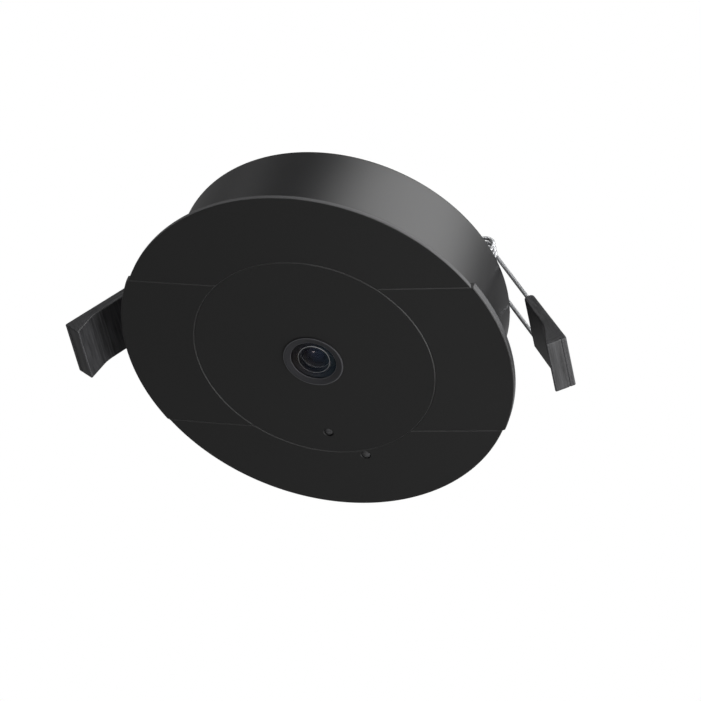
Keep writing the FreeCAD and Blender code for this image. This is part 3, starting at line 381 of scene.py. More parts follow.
zinc_plate = worked_metal("zinc_plated_steel", "9c9ea0", "b4b6b7", 0.36, 0.5, (1.0, 0.06, 1.0))
pin_tip = 0.6
pin_tip_radius = 1.0
bracket_sheet = 1.2
bracket_screw = {"radius": 1.0, "head_radius": 1.9, "head_height": 0.8, "grip": 3.2}
joint_of = {joint["child"]: joint for joint in frame["record"]["behaviour"]["joints"]}
hinges = {side: np.array(joint_of["clip_" + side]["pos_m"]) / MM for side in ("right", "left")}
SIDES = (("right", 1), ("left", -1))
for side, sign in SIDES:
    dress(zinc_plate, "clip_bracket_" + side)
    low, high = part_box("clip_pin_" + side)
    pin_end = high.y / MM
    pin_radius = (high.z - low.z) / 2 / MM
    half = [(0, pin_end), (pin_tip_radius, pin_end), (pin_tip_radius, pin_end - pin_tip),
            (pin_radius, pin_end - pin_tip)]
    profile = rounded([(radius, -along) for radius, along in half] + half[::-1],
                      [0, 0.2, 0.05, 0.1, 0.1, 0.05, 0.2, 0])
    points, faces = turned(profile, 48)
    make_piece("hinge_pin_" + side, [(points[:, [0, 2, 1]] + hinges[side], faces)], zinc_plate,
               "bracket_steel", "clip_pin_" + side)
    low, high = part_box("bracket_screws_" + side)
    screw_x = (low.x + high.x) / 2 / MM
    screw_y = high.y / MM - bracket_screw["head_radius"]
    make_piece("bracket_screw_pair_" + side,
               [screw_shell((screw_x, y), barrel_depth + bracket_sheet, **bracket_screw)
                for y in (screw_y, -screw_y)],
               black_oxide, "screw_steel", "bracket_screws_" + side)


# Clip springs: one drawn spring-steel wire each, 1.2 mm thick, wound round the pin in two coils.
# Its two arms run down into the pad, where a cross piece joins them. Drawing leaves it pale grey and
# half bright, with fine lines along it.

wire_radius = 0.6
coil_radius = 2.7
coil_pitch = 1.8
coil_turns = 13 / 4
arm_offset = 8.0
arm_angle = 53.0
arm_end = 36.6
bridge_bend = 2.4
tail = 1.4


def clip_place(points, side_sign, hinge):
    """From the clip's own frame, pin along Y and arms along +X, to its free pose on the housing: turned
    down by the arm angle, moved to the hinge, and for the left clip turned half round Z."""
    turn = np.radians(arm_angle)
    x = points[..., 0] * np.cos(turn) + points[..., 2] * np.sin(turn) + abs(hinge[0])
    z = points[..., 2] * np.cos(turn) - points[..., 0] * np.sin(turn) + hinge[2]
    return np.stack([x * side_sign, points[..., 1] * side_sign, z], -1)


def spring_line():
    """Half of the wire: a straight tail, a helix of steady pitch, the arm, and a quarter bend to the
    clip's middle. The other half is its mirror image in Y. Also the way that each section's top points."""
    turns = np.linspace(coil_turns, 0, 118)
    angle = np.pi / 2 + 2 * np.pi * turns
    outward = np.stack([np.cos(angle), np.zeros_like(angle), np.sin(angle)], 1)
    coil = coil_radius * outward - np.stack([0 * turns, arm_offset + coil_pitch * turns, 0 * turns], 1)
    way = np.array([np.sin(angle[0]), 0, -np.cos(angle[0])])
    straight = coil[0] - way * np.linspace(tail, 0.15, 6)[:, None]
    run = np.linspace(0.3, arm_end - bridge_bend, 60)
    arm = np.stack([run, np.full_like(run, -arm_offset), np.full_like(run, coil_radius)], 1)
    bend = np.linspace(0, np.pi / 2, 10)[1:]
    corner = np.stack([arm_end - bridge_bend + bridge_bend * np.sin(bend),
                       -arm_offset + bridge_bend * (1 - np.cos(bend)), np.full_like(bend, coil_radius)], 1)
    bridge = np.stack([np.full(8, arm_end), np.linspace(bridge_bend - arm_offset, 0, 9)[1:],
                       np.full(8, coil_radius)], 1)
    line = np.concatenate([straight, coil, arm, corner, bridge])
    tops = np.concatenate([np.repeat(outward[:1], len(straight), 0), outward,
                           np.tile([0.0, 0.0, 1.0], (len(line) - len(straight) - len(coil), 1))])
    mirror = np.array([1, -1, 1])
    return np.concatenate([line, (line * mirror)[-2::-1]]), np.concatenate([tops, (tops * mirror)[-2::-1]])


def swept(line, tops, radius, sides=16):
    """Round wire along a line: each section is radius x (top cos a + side sin a), square to the line,
    and the ends are taken in to a point over a short bevel."""
    ahead = np.gradient(line, axis=0)
    ahead /= np.linalg.norm(ahead, axis=1, keepdims=True)
    across = np.cross(ahead, tops)
    across /= np.linalg.norm(across, axis=1, keepdims=True)
    above = np.cross(across, ahead)
    doubled = np.clip(np.arange(-2, len(line) + 2), 0, len(line) - 1)
    size = np.full(len(doubled), float(radius))
    bevel = np.array([0, 0.75, 0.92]) * radius
    size[:3], size[-3:] = bevel, bevel[::-1]
    angle = np.linspace(0, 2 * np.pi, sides, endpoint=False)[None, :, None]
    ring = above[doubled, None] * np.cos(angle) + across[doubled, None] * np.sin(angle)
    return line[doubled, None] + size[:, None, None] * ring


drawn_wire = worked_metal("drawn_spring_steel", "acadaf", "bcbdbf", 0.4, 0.3, (1.0, 1.0, 0.2), 0.7)
line, tops = spring_line()
for side, sign in SIDES:
    wire = clip_place(swept(line, tops, wire_radius), sign, hinges[side])
    make_piece("spring_wire_" + side, [grid_shell(wire, False, True)], drawn_wire,
               "spring_wire", "clip_spring_" + side, body="clip_" + side)


# Clip pads: black rubber moulded over the wire's end. A flat shank thickens into a foot,
# whose sole presses on the ceiling from above; a shallow groove runs across the sole.

pad_start = 24.6
pad_length = 24.05
pad_width = 18.6
shank = 3.5
tip_thickness = 3.1
foot_start = 15.4
foot_depth = 6.6
heel_setback = 0.4
edge_round = 0.45
tip_round = 1.2
smallest_round = 0.05
foot_blend = 12.0
sole_groove = 0.5
groove_depth = 0.16
groove_place = 1.9
groove_lip = 0.12
groove_root = 0.08


def inset_corners(corners, inset):
    """Corners moved inwards: along the sum of their two edges' normals, by inset / (1 + their cosine)."""
    ahead = np.roll(corners, -1, axis=0) - corners
    ahead /= np.linalg.norm(ahead, axis=1, keepdims=True)
    normal = np.stack([-ahead[:, 1], ahead[:, 0]], 1)
    before = np.roll(normal, 1, axis=0)
    return corners + (normal + before) * inset / (1 + (normal * before).sum(1, keepdims=True))


def pad_outline(inset):
    """Side outline of the pad, drawn in by inset, with the groove cut in its sole."""
    top = coil_radius + shank / 2
    base = inset_corners(np.array([
        (pad_start, coil_radius - tip_thickness / 2), (pad_start + foot_start, top - shank),
        (pad_start + pad_length - heel_setback, top - foot_depth), (pad_start + pad_length, top),
        (pad_start, coil_radius + tip_thickness / 2)]), inset)
    heel, toe = base[2], base[3]
    level = top - groove_place + np.array([-1, -1, 1, 1]) * sole_groove / 2
    on_sole = heel + (toe - heel) * ((level - heel[1]) / (toe[1] - heel[1]))[:, None]
    on_sole[1:3, 0] -= groove_depth
    corners = np.concatenate([base[:3], on_sole, base[3:]])
    near = max(tip_round - inset, smallest_round)
    edge = max(edge_round - inset, smallest_round)
    return rounded(corners, [near, foot_blend, edge, groove_lip, groove_root, groove_root, groove_lip,
                             edge, near], 9)


def pad_points():
    """Side outlines carried across the pad; the last few at each side shrink along a quarter circle."""
    bend = np.linspace(0, np.pi / 2, 6)
    outward = pad_width / 2 - edge_round + edge_round * np.sin(bend)
    inset = edge_round * (1 - np.cos(bend))
    between = np.linspace(-outward[0], outward[0], 24)[1:-1]
    places = np.concatenate([-outward[::-1], between, outward])
    insets = np.concatenate([inset[::-1], 0 * between, inset])
    outlines = np.stack([pad_outline(each) for each in insets])
    across = np.broadcast_to(places[:, None], outlines.shape[:2])
    return np.stack([outlines[..., 0], across, outlines[..., 1]], -1)


def capped(points):
    """Grid shell with its first and last rows closed by flat faces."""
    shell, faces = grid_shell(points, False, True)
    rows, columns = points.shape[:2]
    return shell, faces + [list(range(columns)), list(range((rows - 1) * columns, rows * columns))]


def pad_material():
    """Black rubber out of a milled mould: the cutter left fine lines across the pad, and on its two sides
    lines along it. The lines are about 0.5 mm apart, coarser than the real ones so that they show."""
    material, tree, place = start_material("moulded_pad_rubber")
    either_side = add(tree, "VectorMath", {0: place}, operation="ABSOLUTE")
    in_clip = add(tree, "Mapping", {"Vector": either_side, "Rotation": (0, -np.radians(arm_angle), 0)})
    lines_across, lines_along = [
        add(tree, "TexNoise", {"Vector": add(tree, "Mapping", {"Vector": in_clip, "Scale": stretch}),
                               "Scale": 1 / (0.5 * MM), "Detail": 4.0, "Roughness": 0.65})
        for stretch in ((1.0, 0.04, 0.4), (0.08, 0.3, 1.0))]
    facing = add(tree, "SeparateXYZ", {0: add(tree, "NewGeometry").outputs["Normal"]})
    flank = add(tree, "Math", {0: facing.outputs[1], 1: 0.0, 2: 0.7}, operation="COMPARE")
    lines = add(tree, "Mix", {0: flank, 2: lines_along, 3: lines_across})
    share = add(tree, "MapRange", {"Value": lines, 1: 0.3, 2: 0.7})
    tint = add(tree, "Mix", {0: share, 6: linear("171718"), 7: linear("414143")}, data_type="RGBA")
    gloss = add(tree, "MapRange", {"Value": lines, 3: 0.3, 4: 0.44})
    return finished(material, tint, gloss, lines, 0.6, 0.03, {"Specular IOR Level": 0.35, "IOR": 1.52})


pad_rubber = pad_material()
points = pad_points()
for side, sign in SIDES:
    make_piece("foot_pad_" + side, [capped(clip_place(points, sign, hinges[side]))], pad_rubber,
               "pad_rubber", "clip_pad_" + side, body="clip_" + side, sharp=40)


# Lens unit on the sensor board: a bead-blasted, black anodised holder, a barrel in matt black paint, two
# coated glass elements and a filter, and a turned ring that clamps the elements behind the front glass.

# Bead-blasted and black anodised: an even, dull black.
dress(moulded_plastic("bead_blasted_black_anodised", "0a0a0b", "111112", 0.6, 0.25, 0.004, 0.2),
      "lens_holder")


def coated_glass(name, tint, thin, thick, inked=None):
    """Polished optical glass under an evaporated film that leaves a red, purple or teal reflection as it
    goes from thin to thick, in nanometres, across the lens. Wiping leaves smears. Inked gives the radius
    and the height beyond which the ground rim and back are painted black, so that they catch no light."""
    material, tree, place = start_material(name)
    slope = add(tree, "VectorMath", {0: place, 1: (1.0, 0.6, 0.0)}, operation="DOT_PRODUCT")
    film = add(tree, "MapRange", {"Value": slope, 1: -6 * MM, 2: 6 * MM, 3: thin, 4: thick})
    smear = add(tree, "TexNoise", {"Vector": place, "Scale": 1 / (3 * MM), "Detail": 2.0})
    gloss = add(tree, "MapRange", {"Value": smear, 3: 0.02, 4: 0.05})
    surface = add(tree, "BsdfPrincipled", {
        "Base Color": linear(tint), "Roughness": gloss, "IOR": 1.52, "Transmission Weight": 1.0,
        "Thin Film Thickness": film, "Thin Film IOR": 1.38})
    if inked:
        radius = axis_distance(tree, place)
        height = add(tree, "SeparateXYZ", {0: place}).outputs[2]
        outside = add(tree, "Math", {0: radius, 1: inked[0] * MM}, operation="GREATER_THAN")
        behind = add(tree, "Math", {0: height, 1: inked[1] * MM}, operation="GREATER_THAN")
        share = add(tree, "Math", {0: outside, 1: behind}, operation="MULTIPLY")
        ink = add(tree, "BsdfPrincipled", {"Base Color": linear("08080a"), "Roughness": 0.6})
        surface = add(tree, "MixShader", {0: share, 1: surface, 2: ink})
    add(tree, "OutputMaterial", {"Surface": surface})
    return material


inner_coat = ("72589a", 125.0, 145.0)
dress(coated_glass("coated_filter_glass", *inner_coat), "ir_filter")
low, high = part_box("lens_element_3")
ink_margin = 0.05
dress(coated_glass("coated_third_glass", *inner_coat, (high.x / MM - ink_margin, low.z / MM)),
      "lens_element_3")

low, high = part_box("lens_ring")
lens_front = low.z / MM
lens_ring_back = high.z / MM
ring_outer = high.x / MM
low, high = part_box("lens_barrel")
lens_thread = high.x / MM
lens_back = high.z / MM
lens_pocket = lens_thread - 1.0
lens_bore = 4.6
stop_radius = 3.8
stop_height = 0.6
# Matt black paint inside the barrel: the deepest black here, with hardly any sheen.
lens_matt_black = moulded_plastic("matt_black_lens_paint", "060607", "0b0b0c", 0.75, 0.25, 0.004, 0.1)
make_piece("lens_tube", [turned(rounded([
    (lens_pocket, lens_front), (lens_thread, lens_front), (lens_thread, lens_back),
    (lens_bore, lens_back), (lens_bore, lens_ring_back + stop_height),
    (stop_radius, lens_ring_back + stop_height), (stop_radius, lens_ring_back),
    (lens_pocket, lens_ring_back),
], 0.08), 144)], lens_matt_black, "bezel_black", "lens_barrel")


def edge_turned_ring(low, high):
    """Black anodised aluminium whose front land was turned bright afterwards: bare metal from the low to
    the high radius, with turning rings 0.06 mm apart."""
    material, tree, place = start_material("bright_edged_anodised_ring")
    radius = axis_distance(tree, place)
    bare = add(tree, "Math", {0: radius, 1: (low + high) / 2 * MM, 2: (high - low) / 2 * MM},
               operation="COMPARE")
    turning = add(tree, "Math", {0: radius, 1: 2 * np.pi / (0.06 * MM)}, operation="MULTIPLY")
    turning = add(tree, "Math", {0: turning}, operation="SINE")
    tint = add(tree, "Mix", {0: bare, 6: linear("0a0a0b"), 7: linear("f2f3f5")}, data_type="RGBA")
    gloss = add(tree, "MapRange", {"Value": turning, 1: -1.0, 3: 0.4, 4: 0.5})
    gloss = add(tree, "Mix", {0: bare, 2: 0.85, 3: gloss})
    return finished(material, tint, gloss, turning, 0.2, 0.002, {"Metallic": bare})


ring_bore = 4.0
ring_bevel = 0.3
land_inner = ring_outer - 0.5
land_outer = ring_outer - 0.35
land_drop = 0.07
make_piece("clamp_ring", [turned(rounded([
    (ring_bore, lens_front + ring_bevel), (land_inner, lens_front + land_drop),
    ((land_inner + land_outer) / 2, lens_front), (land_outer, lens_front + land_drop),
    (ring_outer, lens_front + ring_bevel), (ring_outer, lens_ring_back),
    (ring_bore, lens_ring_back),
], [0.05, 0.03, 0.09, 0.03, 0.05, 0.05, 0.05], 9), 144)], edge_turned_ring(land_inner, land_outer),
           "bright_ring", "lens_ring")


def arc(reach, apex, curve):
    """Height of a domed face at reach from its axis: apex + curve - sqrt(curve^2 - reach^2)."""
    return apex + curve - np.sqrt(curve ** 2 - reach ** 2)


low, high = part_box("lens_element_2")
element_radius, element_front, element_back = high.x / MM, low.z / MM, high.z / MM
element_curve = 9.0
element_edge = arc(element_radius, element_front, element_curve)
edge_margin = 0.02
reach = np.linspace(0, element_radius, 28)
element_outline = [*zip(reach, arc(reach, element_front, element_curve)), (element_radius, element_back),
                   (0, element_back)]
inner_glass = coated_glass("coated_inner_glass", *inner_coat,
                           (element_radius - edge_margin, element_edge + edge_margin))
make_piece("second_element", [turned(element_outline, 144)], inner_glass, "lens_glass", "lens_element_2")


# Face frame: the band between the two seams, with its skirt round the flange, and the hidden ring
# that carries the covers and the disc. Black ABS with a fine spark-eroded texture, screwed from the front.

face_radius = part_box("bottom_cover")[1].y / MM
band_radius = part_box("face_frame")[1].x / MM
disc_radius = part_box("centre_disc")[1].x / MM
seam_offset = 27.7
seam_gap = 0.02
disc_gap = 0.02
disc_room = 0.35
groove_chamfer = 0.25
rim_chamfer = 0.3
face_depth = 2.6
dome_rise = 1.65
cover_thickness = 1.2
cover_gap = 0.1
ring_inset = 1.0
disc_thickness = 1.4
ledge_width = 2.5
band_back = -0.3
skirt_bore = flange_radius + 0.1
seam_chamfer = 0.25
chamfer_slope = 0.8
# Widths of the painted highlights: a lighter tint along the seam and groove edges, and at the rim.
seam_highlight_width = 0.22
rim_highlight_width = 0.12
groove_radius = disc_radius + (disc_room + disc_gap) / 2
bezel_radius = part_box("lens_bezel")[1].x / MM


def face_front(radius):
    """Front of the face: a shallow cone that rises from the rim to the disc."""
    return -face_depth - (face_radius - radius) * dome_rise / (face_radius - disc_radius)


def band_points(sign):
    """Section of the band at the centre line carried along Y, with x = sqrt(r^2 - y^2), so that both of
    its ends stay round; its front drops along a shallow chamfer at each seam."""
    section = rounded([
        (groove_radius, face_front(groove_radius) + groove_chamfer * chamfer_slope),
        (groove_radius + groove_chamfer, face_front(groove_radius + groove_chamfer)),
        (band_radius - rim_chamfer, face_front(band_radius - rim_chamfer)),
        (band_radius, face_front(band_radius) + rim_chamfer), (band_radius, band_back),
        (skirt_bore, band_back), (skirt_bore, flange_front), (groove_radius, flange_front),
    ], [0.05, 0.05, 0.2, 0.2, 0.2, 0.1, 0, 0], 7)
    half = seam_offset - seam_gap / 2
    step = np.linspace(0, 1, 4)
    outward = half - seam_chamfer * (1 - step)
    drop = seam_chamfer * chamfer_slope * step
    between = np.linspace(-outward[0], outward[0], 120)[1:-1]
    y = np.concatenate([-outward[::-1], between, outward])[:, None]
    fall = np.concatenate([drop[::-1], 0 * between, drop])[:, None]
    in_front = section[:, 1] < face_front(band_radius) + 2 * rim_chamfer
    x = sign * np.sqrt(section[:, 0] ** 2 - y ** 2)
    return np.stack([x, np.broadcast_to(y, x.shape), section[:, 1] + fall * in_front], -1)


def cover_columns(inner_line, inner_circle, outer, steps):
    """Angles across a face segment, and where each column starts: on the straight seam or on the
    groove's circle, whichever lies farther out."""
    tip, kink = np.arcsin(inner_line / outer), np.arcsin(min(inner_line / inner_circle, 1))
    angle = np.concatenate([np.linspace(tip, kink, steps), np.linspace(kink, np.pi - kink, 2 * steps)[1:-1],
                            np.linspace(np.pi - kink, np.pi - tip, steps)])
    return angle, np.maximum(inner_circle, inner_line / np.sin(angle))


def ring_segment(side):
    """Hidden ring under a cover: square section from the disc's ledge to just inside the rim."""
    outer = face_radius - ring_inset
    angle, start = cover_columns(seam_offset - seam_gap / 2, groove_radius, outer, 40)
    radius = np.stack([start, np.full_like(start, outer), np.full_like(start, outer), start], 1)
    height = face_front(radius) + cover_thickness + cover_gap
    height[:, 2:] = flange_front
    angle = angle[:, None]
    return np.stack([radius * np.cos(angle), side * radius * np.sin(angle), height], -1)


def textured_face():
    """Spark-textured black ABS: a fine even grain of 0.4 mm, drawn coarser than the real one so that it
    shows. Along the seams, round the groove and at the rim a lighter tint is painted on as a highlight of
    the bevelled edges."""
    material, tree, place = start_material("spark_textured_black_abs")
    grain = add(tree, "TexNoise", {"Vector": place, "Scale": 1 / (0.4 * MM), "Detail": 3.0})
    radius = axis_distance(tree, place)
    folded = add(tree, "VectorMath", {0: place}, operation="ABSOLUTE")
    across = add(tree, "SeparateXYZ", {0: folded}).outputs[1]
    groove = add(tree, "Math", {0: radius, 1: groove_radius * MM, 2: seam_highlight_width * MM}, operation="COMPARE")
    seam = add(tree, "Math", {0: across, 1: seam_offset * MM, 2: seam_highlight_width * MM}, operation="COMPARE")
    outside = add(tree, "Math", {0: radius, 1: groove_radius * MM}, operation="GREATER_THAN")
    seam = add(tree, "Math", {0: seam, 1: outside}, operation="MULTIPLY")
    # The seam and groove edges, where a lighter tint is painted on as a highlight.
    bare = add(tree, "Math", {0: groove, 1: seam}, operation="MAXIMUM")
    on_cover = add(tree, "Math", {0: across, 1: seam_offset * MM}, operation="GREATER_THAN")
    rim_start = add(tree, "MapRange", {
        "Value": on_cover, 3: (band_radius - rim_highlight_width) * MM, 4: (face_radius - rim_highlight_width) * MM})
    rim = add(tree, "Math", {0: radius, 1: rim_start}, operation="GREATER_THAN")
    tint = add(tree, "Mix", {0: grain, 6: linear("191919"), 7: linear("212121")}, data_type="RGBA")
    # Painted highlights: the seam and groove edges a lighter grey, the rim lighter still.
    for mask, shade in ((bare, "323232"), (rim, "4c4c4d")):
        tint = add(tree, "Mix", {0: mask, 6: tint, 7: linear(shade)}, data_type="RGBA")
    return finished(material, tint, 0.5, grain, 0.5, 0.012, {"IOR": 1.53, "Specular IOR Level": 0.27})


face_abs = textured_face()
disc_ledge = disc_radius - ledge_width
disc_back = -face_depth - dome_rise + disc_thickness + cover_gap
ledge = turned([(disc_ledge, flange_front), (disc_ledge, disc_back), (groove_radius, disc_back),
                (groove_radius, flange_front)])
halves = [capped(part(sign)) for part in (band_points, ring_segment) for sign in (1, -1)]
make_piece("face_band", [*halves, ledge], face_abs, "face_black", "face_frame")


# Face covers: two thin moulded segments that clip on outside the straight seams.
# Same black ABS. The lower one has a small hole with a soft lip for the microphone, and a domed rubber
# plug stands in it, in front of the microphone's boot.

def cover_points(side):
    """Section of the cover at each angle: a shallow chamfer at the seam or groove, the cone, the bevelled
    rim and the parallel back. At the two tips the section shrinks to nothing."""
    inner_line = seam_offset + seam_gap / 2
    angle, start = cover_columns(inner_line, groove_radius, face_radius, 70)
    width = face_radius - start
    on_seam = start > groove_radius + 1e-6
    full = np.where(on_seam, seam_chamfer / np.sin(angle), groove_chamfer)
    inner = np.minimum(full, 0.4 * width)[:, None]
    fall = chamfer_slope * np.where(on_seam, seam_chamfer, groove_chamfer)[:, None] * inner / full[:, None]
    rim = np.minimum(rim_chamfer, 0.4 * width)[:, None]
    bend = np.linspace(0, np.pi / 2, 6)
    step = np.linspace(0, 1, 4)
    start, width = start[:, None], width[:, None]
    radius = np.concatenate([
        start, start + inner * step,
        start + inner + (width - inner - rim) * np.array([[0.02, 0.33, 0.67, 0.98]]),
        face_radius - rim * (1 - np.sin(bend)), np.full_like(start, face_radius)], 1)
    sink = np.concatenate([
        0 * start, fall * (1 - step), np.zeros((len(start), 4)), rim * (1 - np.cos(bend)), 0 * start], 1)
    height = face_front(radius) + sink
    height[:, [0, -1]] += np.minimum(cover_thickness, 0.9 * width + 0.3)
    angle = angle[:, None]
    return np.stack([radius * np.cos(angle), side * radius * np.sin(angle), height], -1)


def drill(piece, spot, front, radius=1.5, mouth=0.12):
    """Cut a round hole along Z: the tool is a turned plug, from 1 mm before the front to 4 mm behind it,
    whose flare leaves a small soft lip at the hole's mouth."""
    plug = turned(rounded([(0, front - 1), (radius + mouth + 1, front - 1), (radius + mouth, front),
                           (radius, front + mouth), (radius, front + 4), (0, front + 4)],
                          [0, 0, 0.05, 0.08, 0, 0]), 96, spot)
    tool = placed("plug", merged_mesh("plug", [plug]))
    even = piece.modifiers[0]
    cut = piece.modifiers.new("hole", "BOOLEAN")
    cut.operation, cut.solver, cut.object = "DIFFERENCE", "EXACT", tool
    even.show_viewport = False
    graph = bpy.context.evaluated_depsgraph_get()
    piece.data = bpy.data.meshes.new_from_object(piece.evaluated_get(graph))
    piece.modifiers.remove(cut)
    even.show_viewport = True
    smooth(piece.data)
    bpy.data.objects.remove(tool)


def domed_plug(front, back, spot):
    """Round plug with a domed head, an arc of 1.5 x the head's radius and as deep as the plate that it
    fills, and a thinner stem."""
    reach = np.linspace(0, port_radius, 18)
    step = front + port_depth
    return turned([*zip(reach, arc(reach, front, 1.5 * port_radius)), (port_radius, step), (port_stem, step),
                   (port_stem, back), (0, back)], 72, spot)


make_piece("cover_top", [capped(cover_points(-1))], face_abs, "face_black", "top_cover")
cover_bottom = make_piece("cover_bottom", [capped(cover_points(1))], face_abs, "face_black", "bottom_cover")
sound_spot = np.mean(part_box("mic_boot"), axis=0)[:2] / MM
sound_front = face_front(np.hypot(*sound_spot))
drill(cover_bottom, sound_spot, sound_front)
port_radius = 1.48
port_stem = 1.2
port_depth = 1.1
port_recess = 0.04
# Moulded rubber with a dull gloss: dark grey, a little lighter than the face.
boot_rubber = moulded_rubber("moulded_boot_rubber", "343435", "3e3e3f", 0.4, 0.004)
make_piece("sound_hole_plug",
           [domed_plug(sound_front + port_recess, sound_front + cover_thickness, sound_spot)],
           boot_rubber, "seal_rubber")


# Centre disc: a moulded ABS plate, very slightly conical, snapped into the frame over its ledge.
# A small hole with a soft lip, near its lower edge, shows the domed end of the smoked light guide.

def disc_front(radius):
    """Front of the disc: a shallower cone from the groove up to the lens ring."""
    return -face_depth - dome_rise - (disc_radius - radius) * disc_rise / (disc_radius - bezel_radius)


disc_rise = 0.75
disc_edge = groove_radius - disc_gap
skirt_radius = bezel_radius - 1.05
disc_bore = skirt_radius + 0.1
disc = make_piece("disc_plate", [turned(rounded([
    (disc_bore, disc_front(disc_bore)),
    (disc_edge - groove_chamfer, disc_front(disc_edge - groove_chamfer)),
    (disc_edge, disc_front(disc_edge) + groove_chamfer * chamfer_slope),
    (disc_edge, disc_front(disc_edge) + disc_thickness),
    (disc_bore, disc_front(disc_bore) + disc_thickness),
], [0, 0.05, 0.05, 0.1, 0]), 240)], face_abs, "face_black", "centre_disc")
low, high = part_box("light_guide")
light_spot = np.mean([low, high], axis=0)[:2] / MM
drill(disc, light_spot, disc_front(np.hypot(*light_spot)))
# Smoked acrylic: dark grey while the light behind it is off, with a smoother gloss than the face.
smoked_guide = moulded_plastic("smoked_acrylic_guide", "343435", "3e3e3f", 0.3, 0.4, 0.006)
make_piece("light_guide_rod", [domed_plug(low.z / MM, high.z / MM, light_spot)],
           smoked_guide, "light_plastic", "light_guide")


# Lens ring and front glass: a satin black moulded ring, slightly proud of the disc, and the domed
# outer element of the lens seated on the ledge inside it.

low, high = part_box("lens_bezel")
ring_front = low.z / MM
ring_end = high.z / MM
ring_back = disc_front(bezel_radius) - 0.1
rim_bevel = 0.5
rim_drop = 0.1
# Width of the painted highlight on the bezel's outer rim and on the lip round the glass.
bezel_highlight_width = 0.12
low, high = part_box("front_glass")
glass_radius = high.x / MM
glass_back = high.z / MM
glass_apex = low.z / MM
glass_curve = 16.0
glass_edge = arc(glass_radius, glass_apex, glass_curve)
glass_seat = glass_radius + 0.1
glass_ledge = glass_radius - 0.7


def bezel_material():
    """Satin black moulded ABS with a fine grain of 0.3 mm; its outer rim and the lip round the glass get a
    painted highlight, a lighter tint a quarter of a millimetre wide."""
    material, tree, place = start_material("satin_moulded_bezel")
    grain = add(tree, "TexNoise", {"Vector": place, "Scale": 1 / (0.3 * MM), "Detail": 3.0})
    radius = axis_distance(tree, place)
    rim, lip = [add(tree, "Math", {0: radius, 1: middle * MM, 2: bezel_highlight_width * MM}, operation="COMPARE")
                for middle in (bezel_radius - 0.2, glass_radius + 0.15)]
    edge_highlight = add(tree, "Math", {0: rim, 1: lip}, operation="MAXIMUM")
    skin = add(tree, "Mix", {0: grain, 6: linear("222224"), 7: linear("2a2a2d")}, data_type="RGBA")
    # Painted highlight: a lighter grey on the rim and on the lip.
    tint = add(tree, "Mix", {0: edge_highlight, 6: skin, 7: linear("48484b")}, data_type="RGBA")
    return finished(material, tint, 0.45, grain, 0.4, 0.006, {"IOR": 1.53, "Specular IOR Level": 0.3})


make_piece("bezel_ring", [turned(rounded([
    (glass_seat, glass_edge), (bezel_radius - rim_bevel, ring_front),
    (bezel_radius, ring_front + rim_drop), (bezel_radius, ring_back), (skirt_radius, ring_back),
    (skirt_radius, ring_end), (glass_ledge, ring_end), (glass_ledge, glass_back),
    (glass_seat, glass_back),
], [0.1, 0.25, 0.12, 0.02, 0, 0, 0, 0, 0]), 192)], bezel_material(), "bezel_black", "lens_bezel")

hollow_curve = 6.2
hollow_apex = glass_apex + 1.25
hollow_rim = np.sqrt(hollow_curve ** 2 - (hollow_apex + hollow_curve - glass_back) ** 2)
front_reach = np.linspace(0, glass_radius, 40)
back_reach = np.linspace(hollow_rim, 0, 30)
glass_outline = [*zip(front_reach, arc(front_reach, glass_apex, glass_curve)), (glass_radius, glass_back),
                 *zip(back_reach, arc(back_reach, hollow_apex, hollow_curve))]
front_glass = coated_glass("coated_front_glass", "ffffff", 113.0, 168.0,
                           (ring_outer + 0.2, glass_edge + edge_margin))
make_piece("dome_glass", [turned(glass_outline, 192)], front_glass, "lens_glass", "front_glass")


# Studio: white for what the camera sees, a white backdrop off to one side that gloss and glass reflect, and
# a dimmer room all round. A pale floor lies far below the ceiling that the part hangs from, the lamps are
# soft boxes, and the camera stands where the photograph's did.

backdrop_way = (-0.15, 0.9, 0.41)
backdrop_edge, backdrop_full = 0.9, 0.98
room_level = 0.2

# World light: white for camera rays; for rays off gloss or through glass a backdrop that fades with the
# cosine between the ray and the way to it; the room's level for everything else.
bpy.context.scene.view_settings.view_transform = "Standard"
world = bpy.data.worlds.new("studio_air")
world.use_nodes = True
bpy.context.scene.world = world
tree = world.node_tree
tree.nodes.clear()
ray = add(tree, "LightPath").outputs
way = add(tree, "TexCoord").outputs["Generated"]
toward = add(tree, "VectorMath", {0: way, 1: backdrop_way}, operation="DOT_PRODUCT")
wall = add(tree, "MapRange", {"Value": toward, 1: backdrop_edge, 2: backdrop_full,
                              3: room_level, 4: 1.0}, interpolation_type="SMOOTHSTEP")
bent = add(tree, "Math", {0: ray["Is Glossy Ray"], 1: ray["Is Transmission Ray"]}, operation="MAXIMUM")
reflected = add(tree, "Math", {0: wall, 1: bent}, operation="MULTIPLY")
seen = add(tree, "Math", {0: ray["Is Camera Ray"], 1: reflected}, operation="MAXIMUM")
level = add(tree, "Math", {0: seen, 1: room_level}, operation="MAXIMUM")
air = add(tree, "Background", {"Color": linear("ffffff"), "Strength": level})
add(tree, "OutputWorld", {"Surface": air})

floor_reach, floor_level = 3000.0, -2400.0
fade_start, fade_end = 2.6, 3.8
near_glow, far_glow = 0.6, 1.2


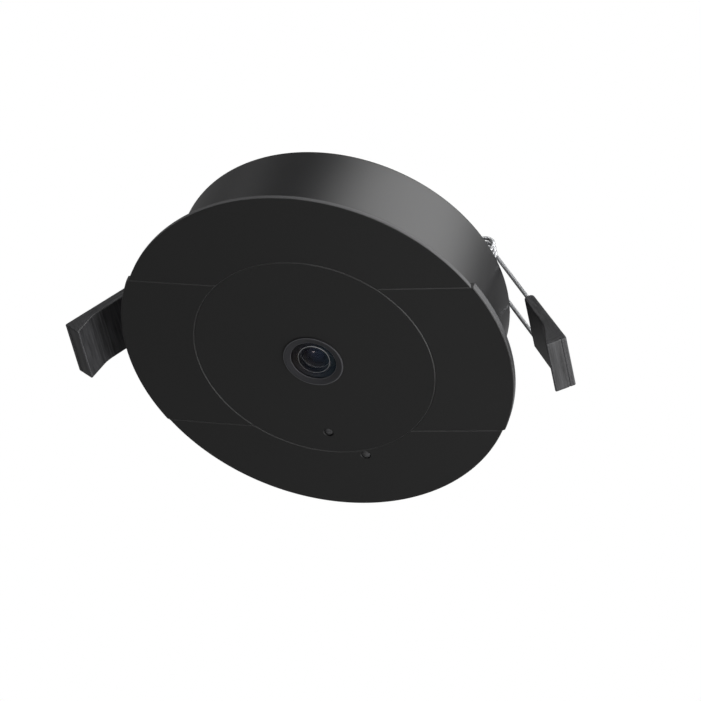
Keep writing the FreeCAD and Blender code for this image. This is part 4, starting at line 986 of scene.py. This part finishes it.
def floor_material():
    """Pale matt floor; for the camera it also glows, more with the distance from the part in metres, so
    that it goes over into the white behind it and its edge isn't seen."""
    material, tree, place = start_material("pale_matt_floor")
    cloud = add(tree, "TexNoise", {"Vector": place, "Scale": 2.0})
    tint = add(tree, "Mix", {0: cloud, 6: linear("e4e4e4"), 7: linear("e8e8e8")}, data_type="RGBA")
    matt = add(tree, "BsdfDiffuse", {"Color": tint})
    away = add(tree, "VectorMath", {0: place}, operation="LENGTH")
    fade = add(tree, "MapRange", {"Value": away, 1: fade_start, 2: fade_end, 3: near_glow, 4: far_glow},
               interpolation_type="SMOOTHSTEP")
    from_camera = add(tree, "LightPath").outputs["Is Camera Ray"]
    glow = add(tree, "Math", {0: from_camera, 1: fade}, operation="MULTIPLY")
    pale = add(tree, "Emission", {"Color": tint, "Strength": glow})
    add(tree, "OutputMaterial", {"Surface": add(tree, "AddShader", {0: matt, 1: pale})})
    return material


side = np.linspace(-floor_reach, floor_reach, 5)
x, y = np.meshgrid(side, side, indexing="ij")
sheet = grid_shell(np.stack([x, y, np.full_like(x, floor_level)], -1), False, False)
floor = placed("floor", merged_mesh("floor", [sheet]))
floor.data.materials.append(floor_material())


def lamp(name, place, width, height, power, through_glass=True):
    """Soft oblong lamp at place, in metres, facing the part with its width level. Not through_glass keeps
    its image out of the inside of the front glass."""
    data = bpy.data.lights.new(name, "AREA")
    data.shape, data.size, data.size_y, data.energy = "RECTANGLE", width, height, power
    light = placed(name, data)
    light.location = place
    light.rotation_euler = (Vector((0, 0, 0.01)) - Vector(place)).to_track_quat("-Z", "Y").to_euler()
    light.visible_transmission = through_glass


lamp("upper_right_softbox", (0.67, -0.56, 0.85), 2.5, 0.35, 20.5)
lamp("low_right_softbox", (0.85, 0.15, -0.36), 0.9, 0.9, 13.5, through_glass=False)
lamp("upper_left_softbox", (-0.84, -0.60, 0.61), 0.4, 0.4, 0.8)
lamp("front_fill", (0.0, -0.9, -1.0), 0.3, 0.3, 3.4)

optics = bpy.data.cameras.new("camera")
optics.lens = 193.04
optics.sensor_width = 36.0
optics.clip_start, optics.clip_end = 0.05, 20.0
camera = placed("camera", optics)
camera.location = (0.36744, -0.69879, -0.79454)
camera.rotation_euler = np.radians([137.427, -14.936, 11.403])
bpy.context.scene.camera = camera
